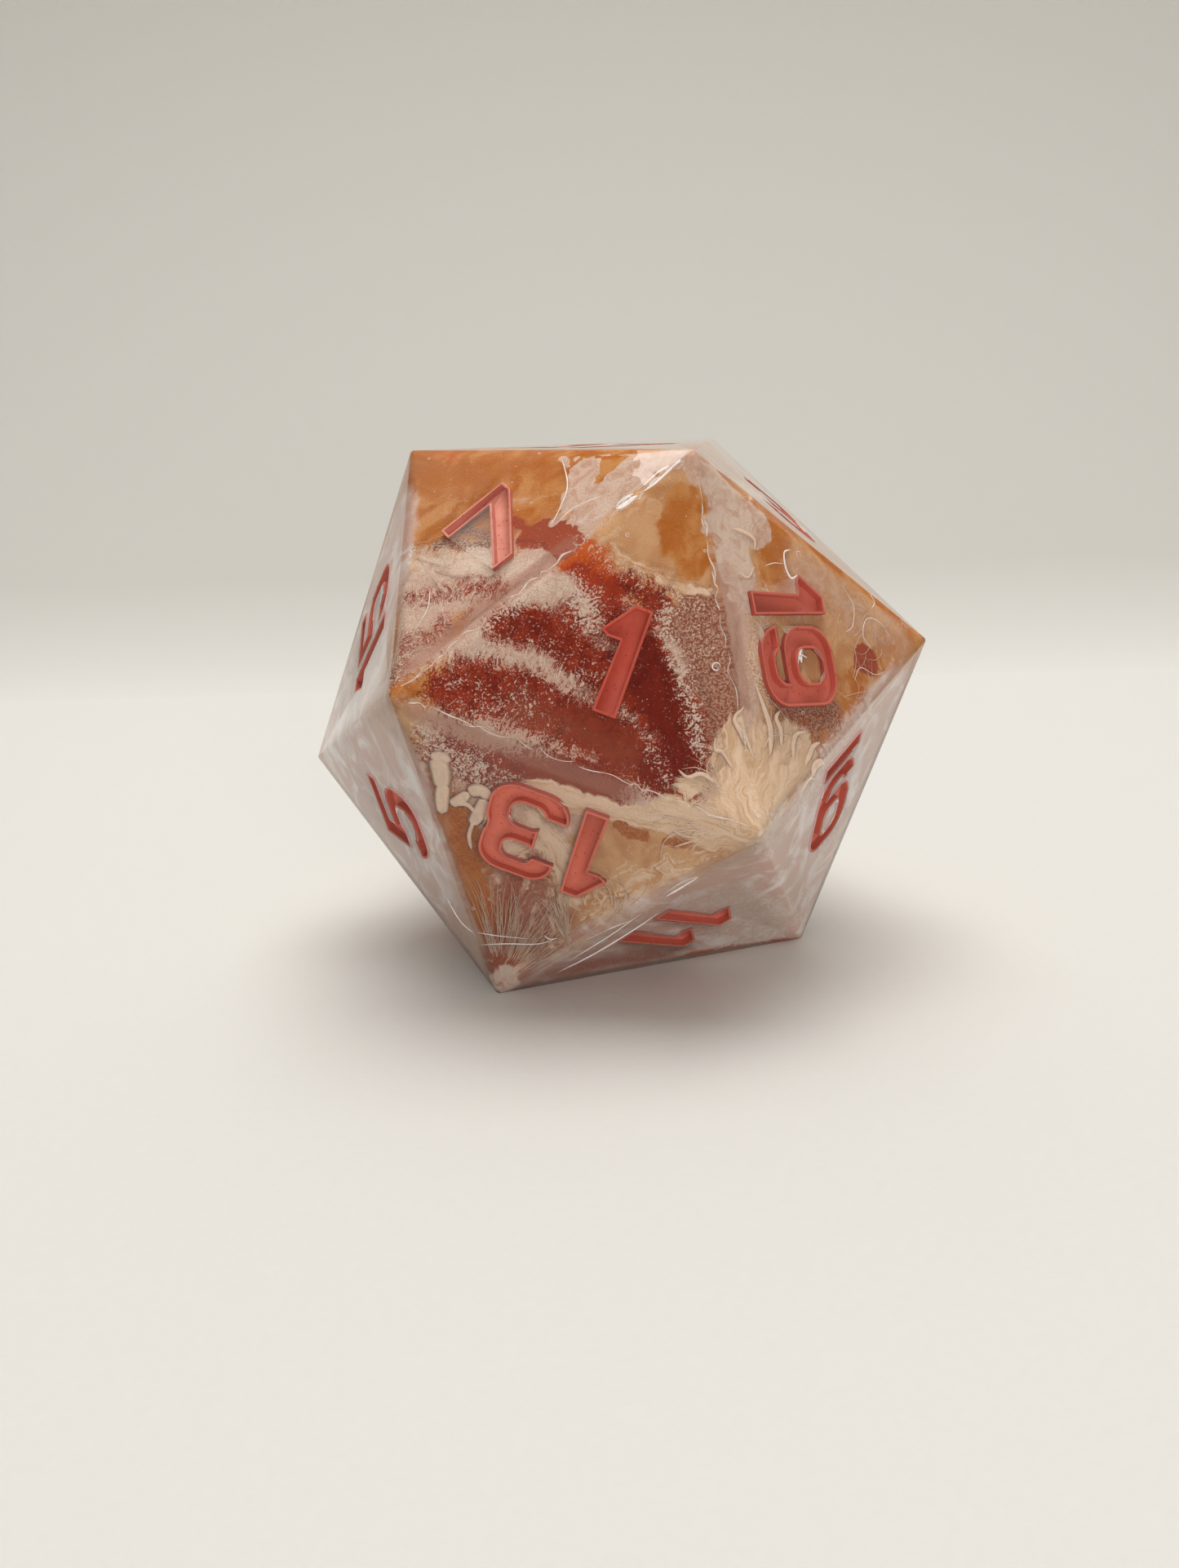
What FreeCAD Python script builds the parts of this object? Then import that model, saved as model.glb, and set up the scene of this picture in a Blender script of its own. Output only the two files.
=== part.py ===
"""A hand-cast twenty-sided die: clear resin round four coloured pours, with painted numerals.

The die rests on its face 4, with the centre of that face at the origin and +Z up.
Sizes are in millimetres.
"""
import FreeCAD, Part
import math
import os

# Driving dimensions of the casting
ACROSS_FLATS = 30.0        # between two opposite faces, so the height of the die at rest
EDGE_RADIUS = 0.28         # the polish takes this much off every edge and corner
CLEAR_SKIN = 0.65          # clear resin between a face and the coloured pours under it
CORE_RADIUS = 0.6          # rounding of the coloured mass, which leaves the corners clear

# Driving dimensions of the numerals
NUMERAL_HEIGHT = 5.75
NUMERAL_WIDTH = 4.3        # of every digit but 1
STEM = 1.2                 # stroke width of the upright strokes
BAR = 0.95                 # stroke width of the level strokes
BOWL_RADIUS = 1.55         # outside corners of the round digits
COUNTER_RADIUS = 0.75      # inside corners of the round digits
TERMINAL = 1.45            # how far an open stroke turns back towards the middle
DIGIT_GAP = 0.6
PAIR_DROP = 0.3            # two-digit numerals sit this much nearer to the face's base
UNDERLINE_GAP = 0.35
ENGRAVING_DEPTH = 0.55
PAINT_FILM = 0.12          # thickness of the paint on the floor and walls of a numeral
PAINT_RIM = 0.05           # bare resin above the paint

# Where the coloured pours meet
MAROON_BLOOM_RADIUS = 7.6  # the red bloom spreads from the middle of face 1
CREAM_PLUME_RADIUS = 6.2   # the cream plume hangs from corner C
AMBER_LEVEL = 0.52         # the amber pour fills the die above this share of its height
AMBER_TILT = 24.0          # degrees, because the mould stood tilted while it set

# Proportions of the regular icosahedron that stands on a face
GOLDEN = (1.0 + math.sqrt(5.0)) / 2.0
EDGE_LENGTH = ACROSS_FLATS * math.sqrt(3.0) / GOLDEN ** 2
SMALL_RING = EDGE_LENGTH / math.sqrt(3.0)
LARGE_RING = GOLDEN * SMALL_RING
CENTRE = FreeCAD.Vector(0.0, 0.0, ACROSS_FLATS / 2.0)

# Each numbered face by its three corners; the numeral's top points to the first one
NUMBERED_FACES = {
    1: "BAC", 7: "EAB", 19: "FBC", 13: "DAC",
    15: "HAE", 5: "HAD", 9: "GCF", 11: "GCD", 17: "IBE", 3: "IBF",
    10: "EIK", 12: "EHK", 16: "FIJ", 6: "FGJ", 4: "DGL", 18: "DHL",
    8: "IJK", 14: "GJL", 2: "HKL", 20: "LJK",
}
UNDERLINED = (6, 9)


def ring_of_corners(letters, first_angle, radius, height):
    """Three corners, 120 degrees apart, at one height."""
    ring = {}
    for step, letter in enumerate(letters):
        angle = math.radians(first_angle + 120.0 * step)
        ring[letter] = FreeCAD.Vector(radius * math.cos(angle), radius * math.sin(angle), height)
    return ring


def die_corners():
    """The twelve corners of the sharp icosahedron, from the resting face up."""
    corners = ring_of_corners("LDG", 90.0, SMALL_RING, 0.0)
    corners.update(ring_of_corners("JHC", 30.0, LARGE_RING, SMALL_RING))
    corners.update(ring_of_corners("KAF", 90.0, LARGE_RING, LARGE_RING))
    corners.update(ring_of_corners("IEB", 30.0, SMALL_RING, ACROSS_FLATS))
    return corners


CORNERS = die_corners()


def icosahedron(inner_radius):
    """A sharp icosahedron about the die's centre, given the distance to its faces."""
    scale = inner_radius / (ACROSS_FLATS / 2.0)
    faces = []
    for letters in NUMBERED_FACES.values():
        points = [CENTRE + (CORNERS[letter] - CENTRE) * scale for letter in letters]
        faces.append(Part.Face(Part.makePolygon(points + points[:1])))
    return Part.makeSolid(Part.makeShell(faces))


def rounded_icosahedron(inner_radius, rounding):
    """An icosahedron whose edges and corners are rounded, with its faces kept in place."""
    sharp = icosahedron(inner_radius - rounding)
    return Part.makeSolid(sharp.makeOffsetShape(rounding, 0.001, join=0).Shells[0])


def face_placement(letters):
    """Puts a flat drawing on a face: X to the right, Y to its first corner, Z outwards."""
    top, left, right = [CORNERS[letter] for letter in letters]
    middle = (top + left + right) * (1.0 / 3.0)
    up = (top - middle).normalize()
    outward = (middle - CENTRE).normalize()
    across = up.cross(outward)
    return FreeCAD.Placement(FreeCAD.Matrix(
        across.x, up.x, outward.x, middle.x,
        across.y, up.y, outward.y, middle.y,
        across.z, up.z, outward.z, middle.z,
        0.0, 0.0, 0.0, 1.0,
    ))


def prism(outline):
    """A closed flat outline, extruded from the floor of the engraving up to its rim."""
    return Part.Face(outline).extrude(FreeCAD.Vector(0.0, 0.0, ENGRAVING_DEPTH))


def straight_prism(points):
    corners = [FreeCAD.Vector(x, y, 0.0) for x, y in points]
    return prism(Part.makePolygon(corners + corners[:1]))


def box_prism(left, bottom, right, top):
    return straight_prism([(left, bottom), (right, bottom), (right, top), (left, top)])


def round_prism(left, bottom, right, top, radius):
    """A box with four round corners, which leave a straight stretch on each side."""
    radius = min(radius, 0.4 * (top - bottom), 0.4 * (right - left))
    centres = [(right - radius, top - radius), (left + radius, top - radius),
               (left + radius, bottom + radius), (right - radius, bottom + radius)]
    arcs = []
    for quarter, (x, y) in enumerate(centres):
        sweep = [math.radians(90.0 * quarter + turn) for turn in (0.0, 45.0, 90.0)]
        arcs.append([FreeCAD.Vector(x + radius * math.cos(a), y + radius * math.sin(a), 0.0)
                     for a in sweep])
    edges = []
    for arc, following in zip(arcs, arcs[1:] + arcs[:1]):
        edges.append(Part.Arc(*arc).toShape())
        edges.append(Part.makeLine(arc[2], following[0]))
    return prism(Part.Wire(edges))


def bowl(left, bottom, right, top):
    """A closed round stroke."""
    outside = round_prism(left, bottom, right, top, BOWL_RADIUS)
    counter = round_prism(left + STEM, bottom + BAR, right - STEM, top - BAR, COUNTER_RADIUS)
    return outside.cut(counter)


def digit_0():
    return bowl(0.0, 0.0, NUMERAL_WIDTH, NUMERAL_HEIGHT)


def digit_1():
    flag_root = 0.66 * NUMERAL_HEIGHT
    return straight_prism([
        (0.0, flag_root + 0.25), (1.2, NUMERAL_HEIGHT), (2.15, NUMERAL_HEIGHT),
        (2.25, 0.0), (1.0, 0.0), (1.1, flag_root), (0.4, flag_root),
    ])


def digit_2():
    bend = 0.64 * NUMERAL_HEIGHT
    hook = bowl(0.0, 0.35 * NUMERAL_HEIGHT, NUMERAL_WIDTH, NUMERAL_HEIGHT)
    hook = hook.cut(box_prism(0.0, 0.0, NUMERAL_WIDTH, bend))
    hook = hook.cut(box_prism(0.0, 0.0, 1.5 * STEM, NUMERAL_HEIGHT - TERMINAL))
    slant = straight_prism([
        (NUMERAL_WIDTH - STEM, bend), (NUMERAL_WIDTH, bend), (1.45 * STEM, BAR / 2.0), (0.0, BAR / 2.0),
    ])
    return hook.fuse([slant, box_prism(0.0, 0.0, NUMERAL_WIDTH, BAR)])


def double_bowl(shoulder):
    """Two round strokes, one above the other, which share the level stroke at the waist."""
    waist = 0.53 * NUMERAL_HEIGHT
    bowls = [(shoulder, waist - BAR / 2.0, NUMERAL_WIDTH - shoulder, NUMERAL_HEIGHT),
             (0.0, 0.0, NUMERAL_WIDTH, waist + BAR / 2.0)]
    stroke = box_prism(2.0 * shoulder, waist - BAR, NUMERAL_WIDTH - 2.0 * shoulder, waist + BAR)
    stroke = stroke.fuse([round_prism(*bounds, BOWL_RADIUS) for bounds in bowls])
    for left, bottom, right, top in bowls:
        stroke = stroke.cut(round_prism(left + STEM, bottom + BAR, right - STEM, top - BAR, COUNTER_RADIUS))
    return stroke


def digit_3():
    opening = box_prism(-0.1, TERMINAL, 1.15 * STEM, NUMERAL_HEIGHT - TERMINAL)
    return double_bowl(0.1).cut(opening)


def digit_4():
    bar_bottom = 0.22 * NUMERAL_HEIGHT
    stem_left = 0.58 * NUMERAL_WIDTH
    slant = straight_prism([
        (0.0, bar_bottom + BAR / 2.0), (STEM, bar_bottom + BAR / 2.0),
        (stem_left + STEM, NUMERAL_HEIGHT), (stem_left, NUMERAL_HEIGHT),
    ])
    stem = box_prism(stem_left, 0.0, stem_left + STEM, NUMERAL_HEIGHT)
    return slant.fuse([stem, box_prism(0.0, bar_bottom, NUMERAL_WIDTH, bar_bottom + BAR)])


def digit_5():
    bowl_top = 0.69 * NUMERAL_HEIGHT
    stem_bottom = 0.47 * NUMERAL_HEIGHT
    lower = bowl(0.0, 0.0, NUMERAL_WIDTH, bowl_top)
    lower = lower.cut(box_prism(-0.1, TERMINAL, STEM + 0.05, bowl_top))
    stem = box_prism(0.1, stem_bottom, 0.1 + STEM, NUMERAL_HEIGHT)
    top_bar = box_prism(0.1, NUMERAL_HEIGHT - BAR, NUMERAL_WIDTH - 0.2, NUMERAL_HEIGHT)
    return lower.fuse([stem, top_bar])


def digit_6():
    middle = FreeCAD.Vector(NUMERAL_WIDTH / 2.0, NUMERAL_HEIGHT / 2.0, 0.0)
    six = digit_9()
    six.rotate(middle, FreeCAD.Vector(0.0, 0.0, 1.0), 180.0)
    return six


def digit_7():
    return straight_prism([
        (0.0, NUMERAL_HEIGHT), (NUMERAL_WIDTH, NUMERAL_HEIGHT), (NUMERAL_WIDTH, NUMERAL_HEIGHT - BAR),
        (0.41 * NUMERAL_WIDTH, 0.0), (0.11 * NUMERAL_WIDTH, 0.0),
        (0.67 * NUMERAL_WIDTH, NUMERAL_HEIGHT - BAR), (0.0, NUMERAL_HEIGHT - BAR),
    ])


def digit_8():
    return double_bowl(0.15)


def digit_9():
    bowl_bottom = 0.31 * NUMERAL_HEIGHT
    tail = digit_0().cut(box_prism(-0.1, TERMINAL, NUMERAL_WIDTH - STEM, NUMERAL_HEIGHT))
    return tail.fuse(bowl(0.0, bowl_bottom, NUMERAL_WIDTH, NUMERAL_HEIGHT))


DIGITS = {"0": digit_0, "1": digit_1, "2": digit_2, "3": digit_3, "4": digit_4,
          "5": digit_5, "6": digit_6, "7": digit_7, "8": digit_8, "9": digit_9}


def underline():
    top = -UNDERLINE_GAP
    return box_prism(0.0, top - BAR, NUMERAL_WIDTH, top)


def numeral(number):
    """The separate strokes of one number as prisms, centred, with their tops at the face."""
    strokes = []
    pen = 0.0
    for character in str(number):
        digit = DIGITS[character]().removeSplitter()
        width = digit.BoundBox.XMax
        digit.translate(FreeCAD.Vector(pen, 0.0, 0.0))
        strokes.append(digit)
        pen += width + DIGIT_GAP
    if number in UNDERLINED:
        strokes.append(underline())
    drop = PAIR_DROP if number > 9 else 0.0
    centring = FreeCAD.Vector((DIGIT_GAP - pen) / 2.0, -NUMERAL_HEIGHT / 2.0 - drop, -ENGRAVING_DEPTH)
    for stroke in strokes:
        stroke.translate(centring)
    return strokes


def paint_lining(stroke):
    """The paint in one engraved stroke: a film on its floor and up its walls."""
    floor = [face for face in stroke.Faces if face.BoundBox.ZMax < -ENGRAVING_DEPTH / 2.0][0]
    film = floor.extrude(FreeCAD.Vector(0.0, 0.0, ENGRAVING_DEPTH - PAINT_RIM))
    hollow = floor.makeOffset2D(-PAINT_FILM, join=0)
    hollow.translate(FreeCAD.Vector(0.0, 0.0, PAINT_FILM))
    return film.cut(hollow.extrude(FreeCAD.Vector(0.0, 0.0, ENGRAVING_DEPTH)))


def on_face(solids, letters):
    """A compound of the solids, moved from the flat drawing to a face."""
    group = Part.makeCompound(solids)
    group.Placement = face_placement(letters)
    return group


def face_middle(letters, inset):
    """The point under the middle of a face, at a given depth."""
    return face_placement(letters).multVec(FreeCAD.Vector(0.0, 0.0, -inset))


def coloured_pours(core):
    """Divides the coloured mass into the four pours that set against each other."""
    bloom_ball = Part.makeSphere(MAROON_BLOOM_RADIUS, face_middle(NUMBERED_FACES[1], CLEAR_SKIN))
    plume_ball = Part.makeSphere(CREAM_PLUME_RADIUS, CORNERS["C"])
    slab = Part.makeBox(4.0 * ACROSS_FLATS, 4.0 * ACROSS_FLATS, 2.0 * ACROSS_FLATS,
                        FreeCAD.Vector(-2.0 * ACROSS_FLATS, -2.0 * ACROSS_FLATS, AMBER_LEVEL * ACROSS_FLATS))
    slab.rotate(FreeCAD.Vector(0.0, 0.0, AMBER_LEVEL * ACROSS_FLATS), FreeCAD.Vector(1.0, 0.0, 0.0), -AMBER_TILT)
    maroon = core.common(bloom_ball)
    cream = core.common(plume_ball).cut(bloom_ball)
    rest = core.cut([bloom_ball, plume_ball])
    return {
        "maroon_ink_bloom": maroon,
        "cream_ink_plume": cream,
        "amber_mica_pour": rest.common(slab),
        "cloudy_pink_pour": rest.cut(slab),
    }


def build_die():
    """Every node of the die, by name."""
    casting = rounded_icosahedron(ACROSS_FLATS / 2.0, EDGE_RADIUS)
    core = rounded_icosahedron(ACROSS_FLATS / 2.0 - CLEAR_SKIN, CORE_RADIUS)
    nodes = {}
    recesses = []
    for number, letters in sorted(NUMBERED_FACES.items()):
        strokes = numeral(number)
        recesses.append(on_face(strokes, letters))
        lining = [paint_lining(stroke) for stroke in strokes]
        nodes["number_paint_%02d" % number] = on_face(lining, letters)
    nodes["clear_resin_body"] = casting.cut(recesses).cut(core)
    nodes.update(coloured_pours(core))
    return nodes


def main():
    os.makedirs("parts", exist_ok=True)
    for name, shape in build_die().items():
        shape.exportStep("parts/%s.step" % name)
        print("%-18s solids %d  volume %9.3f mm3  valid %s"
              % (name, len(shape.Solids), shape.Volume, shape.isValid()))


main()
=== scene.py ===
"""Looks of a hand-cast resin die: a clear casting over coloured pours, wisps, mica and painted numerals."""
import math
import random
from contextlib import contextmanager

import bmesh
import bpy
import numpy as np
from mathutils import Matrix, Vector, noise
from mathutils.geometry import closest_point_on_tri


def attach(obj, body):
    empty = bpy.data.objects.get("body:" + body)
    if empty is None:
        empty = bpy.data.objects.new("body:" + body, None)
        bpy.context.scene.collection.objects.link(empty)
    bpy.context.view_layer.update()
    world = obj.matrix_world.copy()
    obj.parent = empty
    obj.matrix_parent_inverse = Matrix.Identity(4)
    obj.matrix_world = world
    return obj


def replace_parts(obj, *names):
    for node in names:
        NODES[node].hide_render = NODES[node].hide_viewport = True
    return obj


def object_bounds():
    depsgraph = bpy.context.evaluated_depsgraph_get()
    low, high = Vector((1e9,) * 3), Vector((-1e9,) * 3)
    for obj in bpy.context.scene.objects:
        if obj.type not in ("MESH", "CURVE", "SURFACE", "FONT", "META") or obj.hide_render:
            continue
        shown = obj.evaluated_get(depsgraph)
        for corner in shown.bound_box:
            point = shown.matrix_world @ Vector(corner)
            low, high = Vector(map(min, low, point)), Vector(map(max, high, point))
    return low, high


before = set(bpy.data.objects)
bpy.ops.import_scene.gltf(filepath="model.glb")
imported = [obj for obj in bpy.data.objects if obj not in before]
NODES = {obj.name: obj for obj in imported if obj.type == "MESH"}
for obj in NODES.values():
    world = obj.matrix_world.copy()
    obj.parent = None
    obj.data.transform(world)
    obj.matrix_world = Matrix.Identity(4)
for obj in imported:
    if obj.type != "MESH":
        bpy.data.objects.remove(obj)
cad_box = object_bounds()

MM = 0.001
ACROSS_FLATS = cad_box[1].z / MM
GOLDEN = (1.0 + math.sqrt(5.0)) / 2.0
EDGE = ACROSS_FLATS * math.sqrt(3.0) / GOLDEN ** 2
CENTRE = Vector((0.0, 0.0, ACROSS_FLATS / 2.0))

# The coloured core, mm
CORE_DEPTH = 0.65          # clear resin between a face and the colours
CORE_ROUNDING = 0.6
CORNER_SWELL = 0.80        # how far the colours rise into a corner
CORNER_REACH = 4.0         # and from how far away
GRID = 66                  # steps of its mesh along one edge of a face

RESIN_INDEX = 1.5

# The camera, mm
CAMERA_PLACE = Vector((-34.69, -81.13, 32.54))
CAMERA_RIGHT = Vector((0.9226, -0.3848, -0.0286))
CAMERA_DOWN = Vector((-0.1215, -0.2194, -0.9680))
CAMERA_FORWARD = Vector((0.3662, 0.8966, -0.2492))
CAMERA_LENS = 34.21
CAMERA_FILM = 36.0
VIEW_TURN = Matrix.Rotation(math.radians(-22.2), 3, "Z")

# Details of the casting, mm
FACE_REACH = 0.5           # how far below a face's plane a stroke of colour still shows
PAINT_GRIP = 0.02          # how far the paint bites into the resin
WELD_GAP = 1e-4            # corners of a mesh this close are one corner
BUBBLE_DEPTH = 0.42
MICA_FLAKES = 900          # some of which miss their face and are left out
MICA_SIZES = (0.02, 0.05)  # least and most
MICA_DEPTHS = (0.35, 0.6)
MICA_ACROSS = (-0.46, 0.46)  # where they are scattered over a face, in edge lengths
MICA_UP = (-0.26, 0.54)
MICA_TOP = 0.56            # the top and the slope of the triangle that they stay in
MICA_SLOPE = 0.55
MICA_CORNERS = (0.2, 1.6, 2.9, 4.4, 5.4)  # of a flake, as angles in radians
MICA_FLATNESS = 0.25       # half its thickness, as a share of its size

# The least angle at which two facets meet in a sharp edge
POUR_CREASE = math.radians(50.0)
CASTING_CREASE = math.radians(15.0)
PAINT_CREASE = math.radians(40.0)
WALL_SLOPE = 0.6           # cosine between a wall of a numeral and its face, at the most

# Threads of ink, mm
FACE_MARGIN = 0.8          # how far they keep from the edges of a face, in hundredths of an edge
FINGER_ROOTS = (0.54, 0.62)  # least and most depth at a finger's root
FINGER_TIPS = (0.42, 0.6)
FINGER_JOINTS = (0.0, 0.35, 0.7, 1.0)     # where its bends lie, as shares of its length
FINGER_WIDTHS = (0.5, 1.5)                # least and most, as shares of its fan's
FINGER_LATEST = 0.7                       # where it starts at the latest, as a share of its reach
CLAW_DEPTHS = (0.56, 0.4)  # depth at the start and at the end
BLOB_DEPTHS = (0.5, 0.5)
LINE_DEPTHS = (0.3, 0.2)
RIM_DEPTHS = (0.3, 0.3)
THIN = 0.03                # half thickness of fingers and lines
THICK = 0.05               # of claws and blobs
RIM_THIN = 0.02            # of the rim of a bubble
RIM_WIDTH = 0.16           # its half width, as a share of the bubble's radius
RIM_TURN = 0.6             # radians from one of its points to the next
RIM_POINTS = 11
BLUNT_ROOT = 0.7           # the share of a finger or claw that is thick
ROUND_ENDS = 0.22          # power of the taper that rounds the ends of a blob
THREAD_TIP = 0.04          # what is left of a thread at its ends, as a share of its widest
THREAD_SIDES = 6
THREAD_STEPS = 6           # from one point of a route to the next

# Where the pours meet, as in the CAD model, mm
BLOOM_RADIUS = 7.6
PLUME_RADIUS = 6.2
AMBER_LEVEL = 0.52
AMBER_TILT = 24.0


def srgb(red, green, blue):
    """A display colour, 0 to 255, as the linear colour that shaders take."""
    values = [c / 255.0 for c in (red, green, blue)]
    return tuple(c / 12.92 if c < 0.04045 else ((c + 0.055) / 1.055) ** 2.4 for c in values) + (1.0,)


# Colours
AMBER_LIGHT = srgb(196, 138, 80)
AMBER_DEEP = srgb(176, 102, 36)
RUST = srgb(200, 92, 28)
RUST_RED = srgb(160, 52, 22)
BROWN = srgb(146, 66, 30)
MILK = srgb(211, 186, 168)
MILK_GREY = srgb(196, 164, 144)
# FROST and PINK_FROST also colour the pale side faces, partly as painted reflection of the bright room
FROST = srgb(238, 232, 226)
PINK_FROST = srgb(207, 171, 154)
FILM = srgb(196, 162, 142)
FILM_PALE = srgb(212, 194, 180)
TAN = srgb(206, 162, 118)
TAN_DEEP = srgb(188, 136, 90)
# white of the ink lines, and of the painted glints among them
WHITE_INK_AND_GLINT = srgb(252, 250, 247)
MAROON_DARK = srgb(106, 20, 2)
MAROON = srgb(148, 48, 20)
MAUVE = srgb(143, 69, 46)
BROWN_MAUVE = srgb(138, 78, 56)
STIPPLE_GREY = srgb(180, 142, 120)
ROSE = srgb(158, 74, 50)
FUR_WHITE = srgb(216, 197, 178)
CREAM = srgb(226, 200, 172)
CREAM_SHADE = srgb(204, 168, 132)
# The paint's colours are mixed for each numeral from paler to redder as painted light and shade; PAINT_DARK
# flecks the paint and is painted shade on its walls
PAINT = srgb(222, 122, 98)
PAINT_WARM = srgb(204, 94, 72)
PAINT_PALE = srgb(236, 156, 134)
PAINT_RED = srgb(192, 62, 44)
PAINT_DARK = srgb(166, 46, 30)
GOLD = srgb(246, 206, 136)
RESIN_TINT = (1.0, 0.985, 0.975, 1.0)
PAPER = srgb(242, 240, 234)
PAPER_PALE = srgb(245, 243, 238)
# painted shade of the paper up its sweep
PAPER_SHADED = srgb(214, 211, 204)

# ---------------------------------------------------------------- geometry of the die


def ring(letters, first_angle, radius, height):
    """Three corners of the die, 120 degrees apart."""
    corners = {}
    for step, letter in enumerate(letters):
        angle = math.radians(first_angle + 120.0 * step)
        corners[letter] = Vector((radius * math.cos(angle), radius * math.sin(angle), height))
    return corners


SMALL = EDGE / math.sqrt(3.0)
LARGE = GOLDEN * SMALL
CORNERS = {**ring("LDG", 90.0, SMALL, 0.0), **ring("JHC", 30.0, LARGE, SMALL),
           **ring("KAF", 90.0, LARGE, LARGE), **ring("IEB", 30.0, SMALL, ACROSS_FLATS)}

# Each face by number; its numeral points to the first corner
FACES = {1: "BAC", 7: "EAB", 19: "FBC", 13: "DAC", 15: "HAE", 5: "HAD", 9: "GCF", 11: "GCD", 17: "IBE",
         3: "IBF", 10: "EIK", 12: "EHK", 16: "FIJ", 6: "FGJ", 4: "DGL", 18: "DHL", 8: "IJK", 14: "GJL",
         2: "HKL", 20: "LJK"}


class Face:
    """A face's own axes: x to the right and y up to its first corner, in edge lengths, and depth in mm."""

    def __init__(self, number):
        top, left, right = [CORNERS[letter] for letter in FACES[number]]
        self.middle = (top + left + right) / 3.0
        self.up = (top - self.middle).normalized()
        self.out = (self.middle - CENTRE).normalized()
        self.across = self.up.cross(self.out)
        self.sight = self.bent_sight()

    def bent_sight(self):
        """How a line of sight from the camera runs under the face, for each mm of depth."""
        slope = -CAMERA_FORWARD.dot(self.out)
        if slope < 0.0:
            return -self.out
        bent = math.sqrt(1.0 - (1.0 - slope ** 2) / RESIN_INDEX ** 2)
        return (CAMERA_FORWARD + self.out * slope) / (RESIN_INDEX * bent) - self.out

    def point(self, x, y, depth=0.0):
        """What is seen at x, y of the face and lies at that depth, in mm in the row frame."""
        return self.middle + (self.across * x + self.up * y) * EDGE + self.sight * depth


FACE = {number: Face(number) for number in FACES}


def rounded_point(point, corners):
    """Moves a point of a sharp face onto the rounded shape, with colour that swells into the corners."""
    scale = 1.0 - CORE_ROUNDING / (ACROSS_FLATS / 2.0 - CORE_DEPTH)
    nearest = closest_point_on_tri(point, *[CENTRE + (c - CENTRE) * scale for c in corners])
    rounded = nearest + (point - nearest).normalized() * CORE_ROUNDING
    outward = (rounded - CENTRE).normalized()
    gap = min((rounded - corner).length for corner in corners)
    return rounded + outward * CORNER_SWELL * max(0.0, 1.0 - gap / CORNER_REACH) ** 2


def core_grid():
    """Points and triangles of the coloured core, evenly dense, with rounded edges and corners."""
    scale = 1.0 - CORE_DEPTH / (ACROSS_FLATS / 2.0)
    index, points, triangles = {}, [], []

    def vertex(corners, i, j):
        k = GRID - i - j
        flat = (corners[0] * i + corners[1] * j + corners[2] * k) / GRID
        key = tuple(round(c, 4) for c in flat)
        if key not in index:
            index[key] = len(points)
            points.append(rounded_point(flat, corners))
        return index[key]

    for letters in FACES.values():
        corners = [CENTRE + (CORNERS[letter] - CENTRE) * scale for letter in letters]
        if (corners[1] - corners[0]).cross(corners[2] - corners[0]).dot(corners[0] - CENTRE) < 0.0:
            corners.reverse()
        for i in range(GRID):
            for j in range(GRID - i):
                a, b, c = vertex(corners, i, j), vertex(corners, i + 1, j), vertex(corners, i, j + 1)
                triangles.append((a, b, c))
                if i + j < GRID - 1:
                    triangles.append((b, vertex(corners, i + 1, j + 1), c))
    return points, triangles


# ---------------------------------------------------------------- where the colours lie

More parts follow.
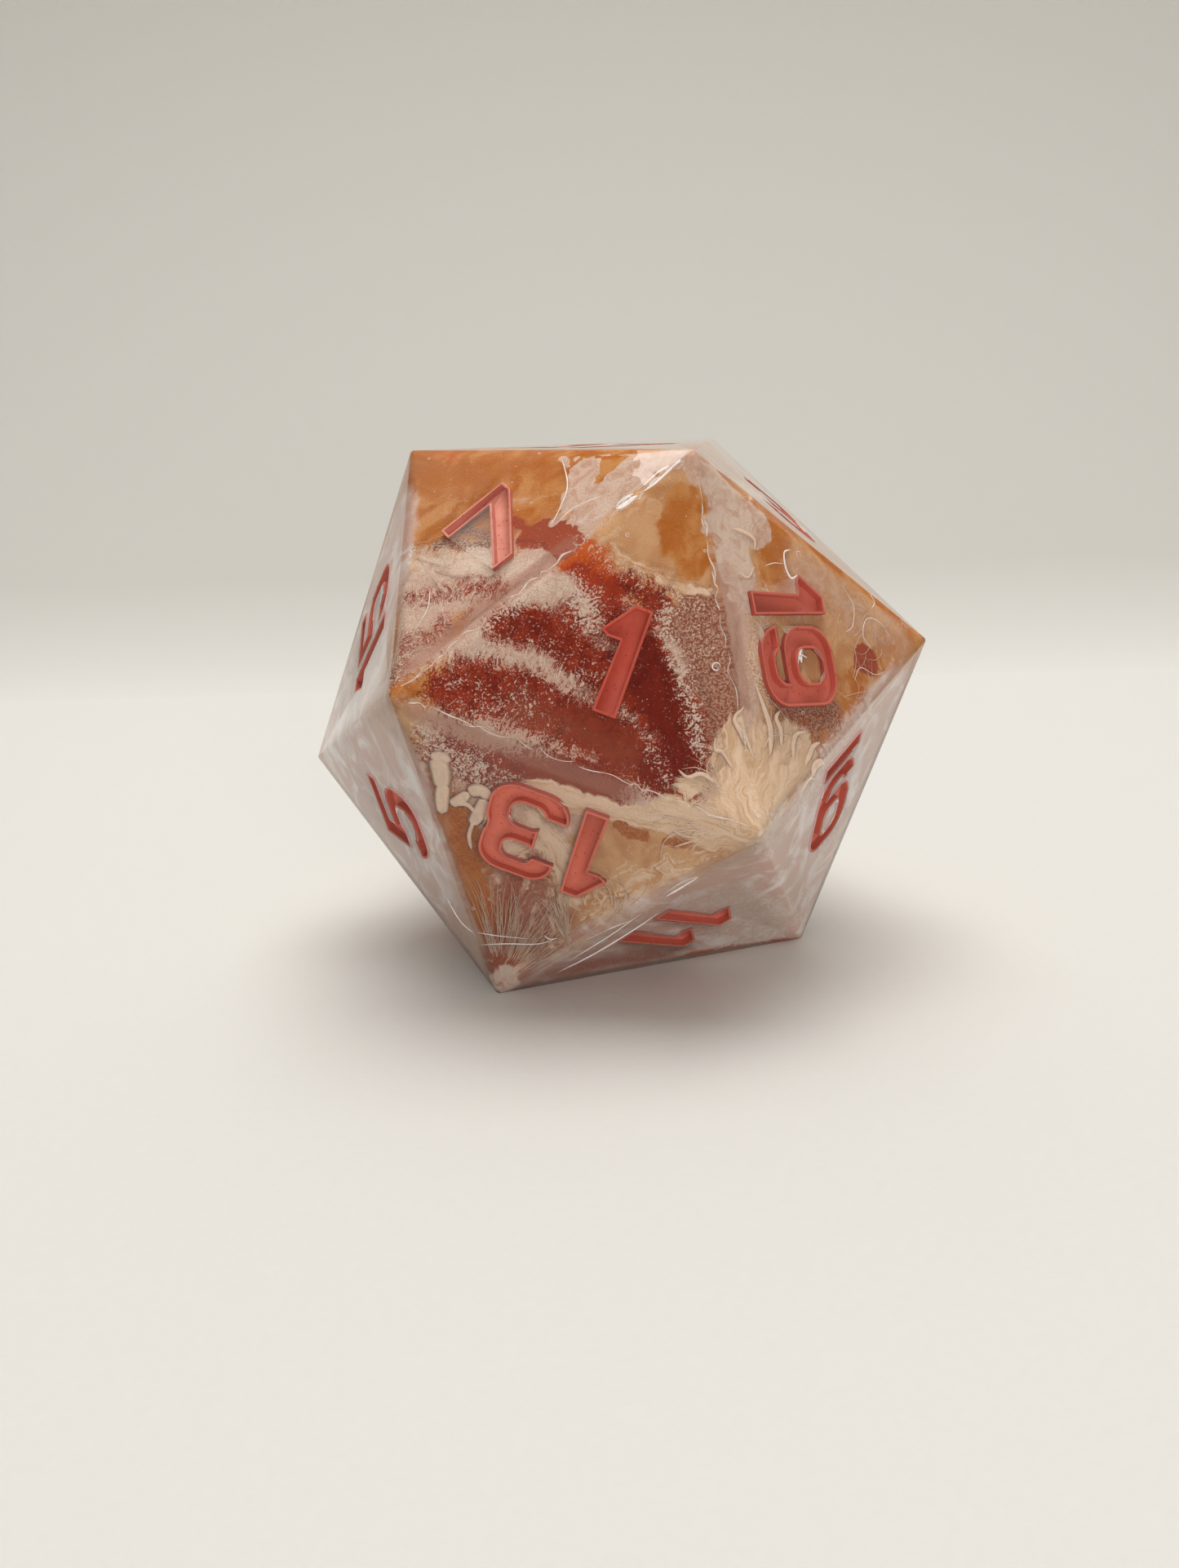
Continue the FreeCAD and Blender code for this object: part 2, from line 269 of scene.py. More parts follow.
# Brush strokes of colour on each face: layer, half width and feather in mm, strength, and a route in
# hundredths of an edge
STROKES = {1: [
    # the maroon bloom with white fur, amber towards corner B, cream towards corner C
    ("tan", 2.6, 1, 1, [(0, 54), (-4, 42), (-8, 32), (6, 26), (14, 26)]),
    ("amber", 1, 0.4, 1.3, [(1.5, 44), (4, 38), (9, 31)]),
    ("amber", 0.6, 0.4, 1.3, [(6, 43), (12, 31)]),
    ("deep", 0.9, 0.7, 1, [(2, 43), (4, 35)]),
    ("deep", 0.5, 0.5, 0.9, [(7, 30), (12, 29)]),
    ("cream", 0.5, 0.7, 0.42, [(-2, 50), (-7, 40), (-12, 29)]),
    ("cream", 0.3, 0.4, 0.7, [(-10, 26), (-2, 23.5), (8, 24), (18, 24.5)]),
    ("milk", 2.6, 1.2, 1, [(-40, -14), (-32, 2), (-20, 9), (-4, 8), (6, 18)]),
    ("milk", 1.6, 0.9, 1, [(8, 20), (15, 8), (24, -6), (29, -14)]),
    ("rust", 1, 0.6, 1.2, [(-19, 21), (-14, 21), (-8, 16)]),
    ("rust", 0.9, 0.6, 1, [(-12, 14), (-4, 11)]),
    ("speckle", 1.5, 0.8, 1.1, [(18, 18), (25, 6), (31, -6), (31, -12)]),
    ("speckle", 0.6, 0.6, 0.9, [(6, 17), (11, 12), (12, 18)]),
    ("maroon", 0.6, 0.6, 1, [(-4, 19), (2, 19), (6, 20), (6, 12)]),
    ("maroon", 0.8, 1.2, 0.5, [(-14, 14), (-6, 16)]),
    ("maroon", 1.15, 0.7, 1.2, [(-29, -1), (-22, 1), (-15, 0), (-9, -3), (-2, -5)]),
    ("maroon", 1.1, 0.9, 1, [(-13, 6), (-5, 7), (4, 6)]),
    ("maroon", 1.4, 0.6, 1.2, [(6, 3), (13, -3), (20, -10), (25, -17)]),
    ("maroon", 1, 0.8, 1.1, [(-2, -4), (8, -8), (14, -12)]),
    ("maroon", 1.5, 0.9, 1.1, [(-35, -20), (-24, -18), (-10, -18), (4, -19), (15, -21), (25, -22)]),
    ("dark", 1.2, 0.6, 1.1, [(8, 1), (14, -4), (20, -11), (25, -17), (23, -22)]),
    ("dark", 0.6, 0.8, 0.8, [(-27, 0), (-18, 0), (-12, -3)]),
    ("dark", 0.8, 1, 0.7, [(-30, -19), (-18, -17), (4, -22), (16, -24)]),
    ("mauve", 1, 1.1, 0.85, [(-18, -21), (-2, -20), (12, -23)]),
    ("fur", 0.7, 0.8, 1, [(-37, -6), (-31, 6), (-23, 12), (-14, 12), (-9, 6)]),
    ("fur", 0.25, 0.8, 0.66, [(-12, 8), (-6, 3), (3, -1)]),
    ("fur", 0.3, 0.6, 0.8, [(-20, 25), (-12, 23), (-3, 22), (6, 22)]),
    ("fur", 0.4, 0.6, 1, [(8, 21), (9, 11), (15, 5), (21, -3), (26, -11), (30, -16)]),
    ("fur", 0.3, 0.8, 0.55, [(14, 20), (21, 10)]),
    ("fur", 0.25, 1.1, 0.9, [(-41, -14), (-33, -9), (-24, -8), (-15, -8), (-7, -10)]),
    ("fur", 0.7, 1.2, 0.38, [(-24, -7), (-13, -6), (-4, -7)]),
    ("fur", 0.15, 0.6, 0.85, [(-4, -12), (6, -12), (13, -15), (19, -20), (23, -25)]),
    ("fur", 0.9, 1, 0.4, [(-36, -18), (-28, -22), (-16, -20)]),
    ("fur", 0.6, 1, 0.36, [(-28, -4), (-14, -2), (-4, 4)]),
    ("tan", 0.9, 0.8, 1, [(-50, -29), (-43, -25), (-41, -18)]),
    ("amber", 0.8, 0.8, 1.1, [(-48, -27), (-41, -24)]),
    ("cream", 2.1, 0.5, 1.2, [(52, -30), (44, -20), (42, -10)]),
    ("cream", 0.5, 0.4, 1.1, [(34, -22), (28, -24)]),
], 7: [
    # amber and gold, a milky furred corner, a rose patch under a white film
    ("amber", 4.6, 1.4, 1.1, [(0, 52), (0, 34), (4, 20)]),
    ("amber", 2.8, 1.2, 1, [(8, 24), (14, 10), (17, 0), (36, -6)]),
    ("deep", 1.9, 1.6, 0.85, [(0, 50), (-2, 40), (4, 32), (12, 24)]),
    ("deep", 0.9, 1.2, 0.9, [(12, 24), (20, 10), (22, 2)]),
    ("haze", 1.2, 1.8, 0.45, [(-16, 24), (-2, 22), (10, 14)]),
    ("haze", 0.3, 0.5, 0.7, [(7, 10), (12, 2), (18, -4)]),
    ("rust", 0.4, 0.5, 0.9, [(6, 45), (8, 41)]),
    ("milk", 2.4, 1, 1.2, [(-42, -22), (-30, -8), (-20, 2), (-12, -12)]),
    ("tan", 0.6, 0.8, 0.8, [(-24, 10), (-16, 17), (-4, 12), (2, 4)]),
    ("speckle", 0.28, 0.35, 1.3, [(-14.5, 11), (-11, 5), (-8, -1), (-6, -4)]),
    ("speckle", 0.28, 0.35, 1.2, [(-7, 8), (-5, 3), (-4, -1)]),
    ("maroon", 0.55, 0.9, 0.95, [(-30, -2), (-22, -9), (-15, -16), (-10, -23)]),
    ("maroon", 0.4, 0.8, 0.8, [(-39, -14), (-34, -20), (-26, -18)]),
    ("speckle", 0.8, 1, 0.66, [(-36, -14), (-30, -22), (-18, -22)]),
    ("fur", 1.6, 1.2, 0.46, [(-42, -20), (-30, -6), (-16, -14)]),
    ("fur", 0.9, 0.9, 1, [(-20, 9), (-14, -2), (-8, -12), (-4, -20)]),
    ("fur", 0.9, 1, 0.4, [(-47, -27), (-40, -22)]),
    ("speckle", 1, 1.4, 0.85, [(-46, -26), (-38, -14)]),
    ("rose", 0.4, 0.3, 1, [(5, -3), (6, -8)]),
    ("rose", 1, 0.35, 1.1, [(6, -14), (9, -19), (10, -24)]),
    ("film", 0.3, 0.12, 1, [(9.5, -16.3), (16, -15), (22, -8)]),
    ("film", 0.3, 0.12, 1, [(27.4, 6), (27, -2), (26, -8)]),
    ("film", 0.9, 0.12, 1, [(22, -15), (25, -10), (29, -6)]),
    ("film", 0.9, 0.12, 1, [(18, -21), (28, -18), (38, -19), (45, -26)]),
    ("film", 0.5, 0.12, 1, [(22, -24), (40, -25)]),
    ("film", 0.35, 0.12, 1, [(32, 1), (38, -8), (44, -20)]),
    # the band on faces 7, 19 and 13 is painted reflection: face 1's colours as seen reflected inside the
    # resin along their shared edge
    ("band", 0.5, 0.1, 1, [(-42, -25.5), (-16, -25.5), (10, -26.6)]),
], 19: [
    # amber and tan, white haze, a rose spot, the cream plume
    ("tan", 6, 1.4, 1.3, [(0, 54), (-6, 30), (-10, 14), (10, 10)]),
    ("amber", 2.2, 1.6, 0.6, [(2, 40), (12, 24), (18, 12)]),
    ("amber", 1.2, 0.8, 1.1, [(-33, 1), (-24, -5), (-14, -6)]),
    ("deep", 0.9, 1, 0.9, [(13, 23), (22, 10), (31, -4)]),
    ("deep", 0.5, 0.8, 0.9, [(-30, 0), (-24, -5)]),
    ("haze", 1.4, 1.6, 0.8, [(-2, 44), (-8, 26), (-20, 8), (-10, 4)]),
    ("rose", 0.7, 0.35, 1.3, [(5, 26), (6.5, 29)]),
    ("rose", 0.2, 0.2, 0.9, [(9, 31), (9.5, 34)]),
    ("milk", 1.4, 1, 1.1, [(-8, -10), (0, -18), (12, -16)]),
    ("speckle", 1, 1, 1, [(14, -13), (22, -4), (22, 8)]),
    ("brown", 0.5, 0.8, 0.66, [(22, 4), (24, -4), (20, -10)]),
    ("fur", 0.8, 0.9, 0.95, [(-10, -12), (0, -17), (12, -19)]),
    ("film", 1.3, 0.5, 0.9, [(-48, -27), (-38, -20), (-26, -21), (-14, -20)]),
    ("film", 1.3, 0.4, 1, [(-46, -22), (-38, -13), (-32, -10)]),
    ("cream", 1.2, 0.5, 0.9, [(-44, -22), (-33, -17), (-21, -19)]),
    ("cream", 2.5, 0.5, 1.2, [(52, -30), (42, -22), (34, -14)]),
    ("cream", 0.8, 0.4, 1.1, [(34, -24), (24, -22)]),
    ("band", 0.5, 0.1, 0.9, [(-16, -25.6), (0, -25.4), (16, -25.8)]),
], 13: [
    # cream fibres over brown, a cream band, maroon towards corner A
    ("milk", 1.5, 1, 1, [(0, 56), (0, 46)]),
    ("cream", 0.9, 0.9, 0.6, [(-12, 31), (-9, 22), (-5, 15)]),
    ("cream", 0.5, 0.6, 0.7, [(-19, 18), (-22, 4), (-31, -9)]),
    ("mauve", 2.4, 1.2, 1.1, [(0, 42), (-4, 30), (0, 14)]),
    ("rust", 1, 1.2, 0.7, [(4, 38), (6, 24), (4, 16)]),
    ("speckle", 1, 0.8, 0.9, [(0, 50), (2, 44)]),
    ("mauve", 1.4, 1.4, 0.6, [(0, 46), (-12, 32), (-20, 22)]),
    ("amber", 1.6, 1, 1.1, [(12, 34), (18, 20), (26, 4)]),
    ("deep", 1.3, 0.8, 1.2, [(13, 32), (20, 18), (28, 3)]),
    ("rust", 0.8, 1.2, 0.6, [(-10, 36), (-4, 26)]),
    ("brown", 0.9, 0.8, 1, [(19, 14), (23, 2), (28, -4), (33, -10)]),
    ("tan", 2.6, 0.6, 1.2, [(-19, 16), (-27, 2), (-36, -8), (-44, -18)]),
    ("tan", 2, 0.8, 1.1, [(-12, 8), (-16, -8), (-28, -16)]),
    ("cream", 2.4, 1.2, 0.46, [(-20, 14), (-28, 0), (-38, -12)]),
    ("cream", 0.25, 0.5, 0.8, [(-14, 19), (-19, 6), (-30, -6), (-40, -10)]),
    ("cream", 0.25, 0.5, 0.8, [(-24, 19), (-30, 8), (-38, -2), (-45, -12)]),
    ("cream", 0.9, 0.9, 0.9, [(-10, 16), (-4, 2), (4, -6), (8, 4)]),
    ("cream", 2.2, 0.9, 0.36, [(0, 52), (-1, 38), (-3, 16)]),
    ("cream", 1, 0.9, 0.36, [(8, 38), (11, 24), (10, 12)]),
    ("brown", 0.3, 0.15, 1.5, [(-34, -17.5), (-29, -16)]),
    ("brown", 0.34, 0.15, 1.5, [(-23, -15), (-19, -14.4), (-16, -14.6)]),
    ("maroon", 1.3, 0.8, 1.1, [(-8, -26), (8, -21), (22, -16), (34, -18)]),
    ("mauve", 1.1, 1, 0.9, [(-10, -24), (4, -21), (14, -18)]),
    ("fur", 1.2, 1, 0.74, [(22, -15), (32, -16), (38, -22)]),
    ("cream", 0.7, 0.22, 1.2, [(-50, -29), (-32, -24), (-14, -19), (0, -17.5), (10, -15.5)]),
    ("cream", 1, 0.35, 1.2, [(-50, -28), (-38, -24), (-26, -24)]),
    ("tan", 0.9, 0.8, 1, [(50, -29), (43, -24), (40, -16)]),
    ("film", 0.7, 0.7, 0.85, [(0, 57), (-1, 49)]),
    ("band", 0.5, 0.1, 1, [(-16, -26), (14, -25.6), (44, -26.6)]),
], 5: [
    # the pale side faces: their colour is partly the pour's own and partly painted reflection of the bright
    # room
    ("frost_and_sheen", 5.5, 1.5, 1, [(10, 20), (-10, 0), (10, -10)]),
], 15: [
    ("frost_and_sheen", 5.5, 1.5, 1, [(10, 20), (-10, 0), (10, -10)]),
], 9: [
    # faces 9 and 11, turned down towards the floor: their frost and veil are partly white ink and partly
    # painted reflection of the bright floor
    ("frost_and_sheen", 5.5, 1.2, 1.2, [(0, 44), (0, 8), (-14, -8), (20, -14)]),
    ("veil_and_sheen", 1.1, 1, 1, [(44, -26), (34, -20), (16, -24), (-10, -26)]),
    ("veil_and_sheen", 0.8, 1, 0.9, [(2, 46), (4, 26), (-6, 10)]),
], 11: [
    ("frost_and_sheen", 5.4, 1.5, 1.2, [(-10, 34), (-14, 0), (20, -14)]),
    ("veil_and_sheen", 2.2, 1, 1, [(-2, 36), (-12, 10), (-14, -10)]),
    ("rust", 0.7, 0.5, 1.2, [(1, 55), (9, 40), (18, 24)]),
    ("mauve", 2, 1.6, 0.8, [(16, 10), (26, -10), (40, -24)]),
    ("rust", 1, 1.4, 0.6, [(18, 10), (30, -14)]),
    ("cream", 0.5, 0.8, 0.6, [(-30, -26), (-10, -25), (20, -26), (44, -27)]),
], 17: [
    # the top: milk over amber, a small bloom
    ("amber", 2.8, 1.4, 0.9, [(-40, -24), (0, -26), (42, -26)]),
    ("milk", 2.4, 1.6, 0.9, [(0, 44), (-6, 14)]),
    ("maroon", 0.9, 0.9, 0.9, [(-18, -8), (-4, -14), (14, -10)]),
    ("fur", 0.9, 0.9, 0.9, [(-22, -2), (-4, -7), (16, -2), (22, -12)]),
    ("cream", 0.7, 0.8, 0.8, [(-10, 26), (2, 12), (18, 8)]),
], 3: [
    ("milk", 3.4, 1.6, 0.8, [(0, 40), (0, 6)]),
    ("cream", 0.9, 0.9, 0.8, [(-30, -22), (-10, -4), (12, 2)]),
    ("amber", 2.4, 1.4, 0.9, [(44, -26), (24, -16), (6, -18)]),
], 8: [
    # the back: a second bloom under face 8, amber about corner K, a plume from corner L
    ("milk", 4, 1.4, 1, [(-20, -14), (0, 4), (20, -14)]),
    ("maroon", 1.5, 0.8, 1, [(-22, -8), (-6, 2), (12, 0), (24, -12)]),
    ("maroon", 1, 0.8, 1, [(-24, -20), (0, -20), (22, -22)]),
    ("dark", 0.9, 0.9, 1, [(6, 2), (22, -8)]),
    ("rust", 1, 0.8, 0.9, [(-4, 24), (8, 18)]),
    ("fur", 0.7, 0.9, 1, [(-32, -4), (-16, 9), (4, 12), (22, 4), (34, -12)]),
    ("fur", 0.6, 0.9, 0.85, [(-30, -20), (-12, -11), (8, -13), (26, -24)]),
    ("amber", 2.4, 1.3, 0.9, [(0, 52), (0, 36)]),
], 10: [
    ("amber", 4.2, 1.6, 1, [(0, 44), (-10, 12), (-20, -12)]),
    ("deep", 1.2, 1, 0.8, [(14, 20), (4, -4), (-10, -16)]),
    ("cream", 1, 0.9, 0.85, [(34, -24), (16, -10), (10, 10)]),
    ("fur", 1, 1, 0.7, [(-30, -20), (-8, -18), (14, -22)]),
], 16: [
    ("amber", 3.4, 1.5, 1, [(0, 46), (8, 16), (20, -6)]),
    ("deep", 1.2, 1, 0.8, [(4, 34), (14, 10)]),
    ("maroon", 1.2, 0.9, 1, [(-30, -18), (-14, -8), (0, -14)]),
    ("fur", 0.8, 0.9, 0.9, [(-36, -12), (-18, 2), (0, -2), (12, -14)]),
    ("cream", 0.8, 0.8, 0.8, [(28, -24), (14, -20), (4, 6)]),
], 12: [
    ("amber", 2.8, 1.5, 0.9, [(0, 46), (6, 18)]),
    ("milk", 3.2, 1.6, 0.9, [(-24, -12), (0, -14), (24, -18)]),
    ("cream", 0.9, 0.9, 0.8, [(-26, -22), (-6, -2), (10, 8), (12, 24)]),
    ("rose", 0.9, 0.5, 0.9, [(16, -6), (20, -14)]),
], 20: [
    ("cream", 1.9, 1, 0.95, [(0, 52), (2, 34), (-8, 18)]),
    ("cream", 0.8, 0.7, 0.8, [(2, 34), (12, 16), (10, 4)]),
    ("maroon", 1.4, 1, 1, [(-20, -20), (0, -14), (18, -22)]),
    ("fur", 0.9, 0.9, 0.9, [(-34, -16), (-12, -4), (10, -6), (30, -20)]),
    ("amber", 2, 1.3, 0.8, [(30, -20), (20, 0)]),
], 2: [
    ("milk", 4.6, 1.6, 0.8, [(0, 30), (0, -10)]),
    ("cream", 1.1, 1, 0.85, [(36, -24), (16, -8), (0, 8), (-6, 30)]),
    ("rust", 1, 1, 0.7, [(-28, -20), (-12, -14)]),
], 14: [
    ("milk", 3.6, 1.6, 0.8, [(0, 36), (-8, 4)]),
    ("cream", 1.3, 1, 0.9, [(40, -26), (20, -12), (10, 8)]),
    ("maroon", 1, 0.9, 1, [(-26, -20), (-8, -16)]),
    ("fur", 0.8, 0.8, 0.8, [(-32, -12), (-14, -6), (4, -12)]),
], 18: [
    ("milk", 4.4, 1.6, 0.8, [(0, 30), (0, -8)]),
    ("cream", 0.9, 0.9, 0.85, [(-34, -24), (-12, -10), (6, 2), (4, 26)]),
    ("amber", 1.8, 1.3, 0.8, [(30, -22), (14, -16)]),
], 6: [
    ("amber", 2.6, 1.4, 0.9, [(0, 50), (4, 28)]),
    ("milk", 2.8, 1.5, 0.8, [(-20, -16), (10, -14)]),
    ("cream", 1, 0.9, 0.85, [(-38, -24), (-16, -10), (2, 6), (8, 22)]),
    ("rose", 0.8, 0.5, 0.9, [(18, 2), (22, -6)]),
], 4: [
    ("milk", 4.6, 1.6, 0.8, [(0, 20), (0, -10)]),
    ("amber", 2, 1.2, 0.8, [(-46, -26), (-24, -18)]),
    ("cream", 0.9, 0.9, 0.8, [(20, -22), (4, -8), (2, 20)]),
]}
# The layers without hairs or strands, three to a mesh attribute, and those with them, one to an attribute
GROUPS = {"warm": ("amber", "deep", "rust"), "red": ("dark", "rose", "brown"),
          "pale": ("mauve", "milk", "speckle"), "edge": ("band", "veil_and_sheen", "haze"),
          "soft": ("frost_and_sheen", "film", "tan")}
FLOWING = ("maroon", "fur", "cream")
# Turbulence that makes the colours' edges wander: waves to the mm, reach in mm, and a shift of the pattern
DRIFT_SEED = 1             # without one, the pattern changes with the clock
DRIFTS = ((0.28, 0.3, (0.0, 0.0, 0.0)), (0.9, 0.35, (31.0, 7.0, 13.0)), (2.3, 0.25, (5.0, 41.0, 3.0)))


def drifted(points):
    """The points moved by a slow turbulence, so that every colour has a wandering edge."""
    noise.seed_set(DRIFT_SEED)
    moved = []
    for point in points:
        end = point.copy()
        for waves, reach, shift in DRIFTS:
            end += noise.noise_vector(point * waves + Vector(shift)) * reach
        moved.append(tuple(end))
    return np.array(moved)


def stroke_field(points, route, out):
    """For each point, its distance from a route, how far along it is, and how far to its side, in mm."""
    best = np.full(len(points), 1e9)
    along = np.zeros(len(points))
    side = np.zeros(len(points))
    travelled = 0.0
    for start, end in zip(route, route[1:]):
        step = np.array(end - start)
        length = np.linalg.norm(step)
        sideways = np.cross(np.array(out), step / length)
        offset = points - np.array(start)
        share = offset @ step / length ** 2
        distance = np.linalg.norm(offset - np.clip(share, 0.0, 1.0)[:, None] * step, axis=1)
        nearer = distance < best
        best = np.where(nearer, distance, best)
        along = np.where(nearer, travelled + share * length, along)
        side = np.where(nearer, offset @ sideways, side)
        travelled += length
    return best, along, side


def colour_fields(points):
    """The strength of every layer at every point, and the flow of the layers that have hairs or strands."""
    straight = np.array([tuple(point) for point in points])
    drift = drifted(points)
    layers = [layer for group in GROUPS.values() for layer in group]
    fields = {layer: np.zeros(len(points)) for layer in (*layers, *FLOWING)}
    flow = {layer: np.zeros((len(points), 2)) for layer in FLOWING}
    for number, strokes in STROKES.items():
        face = FACE[number]
        lift = (straight - np.array(face.middle)) @ np.array(face.out) + CORE_DEPTH
        own = np.clip(1.0 + lift / FACE_REACH, 0.0, 1.0)
        for layer, width, feather, strength, route in strokes:
            line = [face.point(x / 100.0, y / 100.0, CORE_DEPTH) for x, y in route]
            distance, along, side = stroke_field(straight if layer == "band" else drift, line, face.out)
            amount = strength * own * np.clip((width + feather - distance) / (2.0 * feather), 0.0, 1.0)
            stronger = amount > fields[layer]
            fields[layer] = np.where(stronger, amount, fields[layer])
            if layer in flow:
                flow[layer][stronger] = np.stack([along, side], 1)[stronger]
    return fields, flow


def store_fields(mesh, fields, flow, keep):
    """Writes the fields of the kept points to a mesh."""
    stored = {name: [fields[layer][keep] for layer in layers] for name, layers in GROUPS.items()}
    for layer in FLOWING:
        stored[layer] = [fields[layer][keep], flow[layer][keep, 0], flow[layer][keep, 1]]
    for name, columns in stored.items():
        attribute = mesh.attributes.new(name, "FLOAT_VECTOR", "POINT")
        attribute.data.foreach_set("vector", np.stack(columns, 1).astype(np.float32).ravel())


# ---------------------------------------------------------------- materials


class Shader:
    """Builds one material's nodes from short expressions; sockets and plain values mix freely."""

    def __init__(self, name):
        self.material = bpy.data.materials.new(name)
        self.material.use_nodes = True
        self.tree = self.material.node_tree
        self.tree.nodes.clear()
        self.output = self.tree.nodes.new("ShaderNodeOutputMaterial")
        place = self.add("ShaderNodeVectorMath", operation="SCALE")
        self.feed(place.inputs[0], self.add("ShaderNodeTexCoord").outputs["Object"])
        self.feed(place.inputs["Scale"], 1.0 / MM)
        self.place = place.outputs["Vector"]

    def add(self, kind, **settings):
        node = self.tree.nodes.new(kind)
        for key, value in settings.items():
            setattr(node, key, value)
        return node

    def feed(self, socket, value):
        if isinstance(value, bpy.types.NodeSocket):
            self.tree.links.new(value, socket)
        else:
            socket.default_value = value

    def value(self, operation, a, b, clamp=False):
        node = self.add("ShaderNodeMath", operation=operation, use_clamp=clamp)
        self.feed(node.inputs[0], a)
        self.feed(node.inputs[1], b)
        return node.outputs[0]

    def scaled(self, a, factor):
        return self.value("MULTIPLY", a, factor)

    def combine(self, x, y, z):
        node = self.add("ShaderNodeCombineXYZ")
        for socket, value in zip(node.inputs, (x, y, z)):
            self.feed(socket, value)
        return node.outputs[0]

    def fields(self, name):
        """The three numbers that store_fields wrote under a name."""
        attribute = self.add("ShaderNodeAttribute", attribute_name=name)
        split = self.add("ShaderNodeSeparateXYZ")
        self.feed(split.inputs[0], attribute.outputs["Vector"])
        return split.outputs[:3]

    def noise(self, scale, detail=2.0, rough=0.5, twist=0.0, at=None):
        node = self.add("ShaderNodeTexNoise")
        self.feed(node.inputs["Vector"], at or self.place)
        settings = (("Scale", scale), ("Detail", detail), ("Roughness", rough), ("Distortion", twist))
        for key, value in settings:
            self.feed(node.inputs[key], value)
        return node.outputs["Fac"]

    def cells(self, scale):
        node = self.add("ShaderNodeTexVoronoi")
        self.feed(node.inputs["Vector"], self.place)
        self.feed(node.inputs["Scale"], scale)
        return node.outputs["Distance"]

    def step(self, value, low, high):
        """0 at low, 1 at high, smooth between."""
        node = self.add("ShaderNodeMapRange", interpolation_type="SMOOTHSTEP")
        self.feed(node.inputs["Value"], value)
        self.feed(node.inputs["From Min"], low)
        self.feed(node.inputs["From Max"], high)
        return node.outputs["Result"]

    def mix(self, share, a, b):
        node = self.add("ShaderNodeMix", data_type="RGBA")
        self.feed(node.inputs["Factor"], share)
        sockets = [s for s in node.inputs if s.type == "RGBA"]
        self.feed(sockets[0], a)
        self.feed(sockets[1], b)
        return [s for s in node.outputs if s.type == "RGBA"][0]

    def bump(self, height, rise):
        """A surface that rises by so many mm where the height is 1."""
        node = self.add("ShaderNodeBump")
        self.feed(node.inputs["Height"], height)
        self.feed(node.inputs["Distance"], rise * MM)
        return node.outputs["Normal"]

    def surface(self, **inputs):
        """Ends the material in one Principled shader."""
        node = self.add("ShaderNodeBsdfPrincipled")
        for key, value in inputs.items():
            self.feed(node.inputs[key.replace("_", " ")], value)
        self.tree.links.new(node.outputs[0], self.output.inputs["Surface"])
        return node


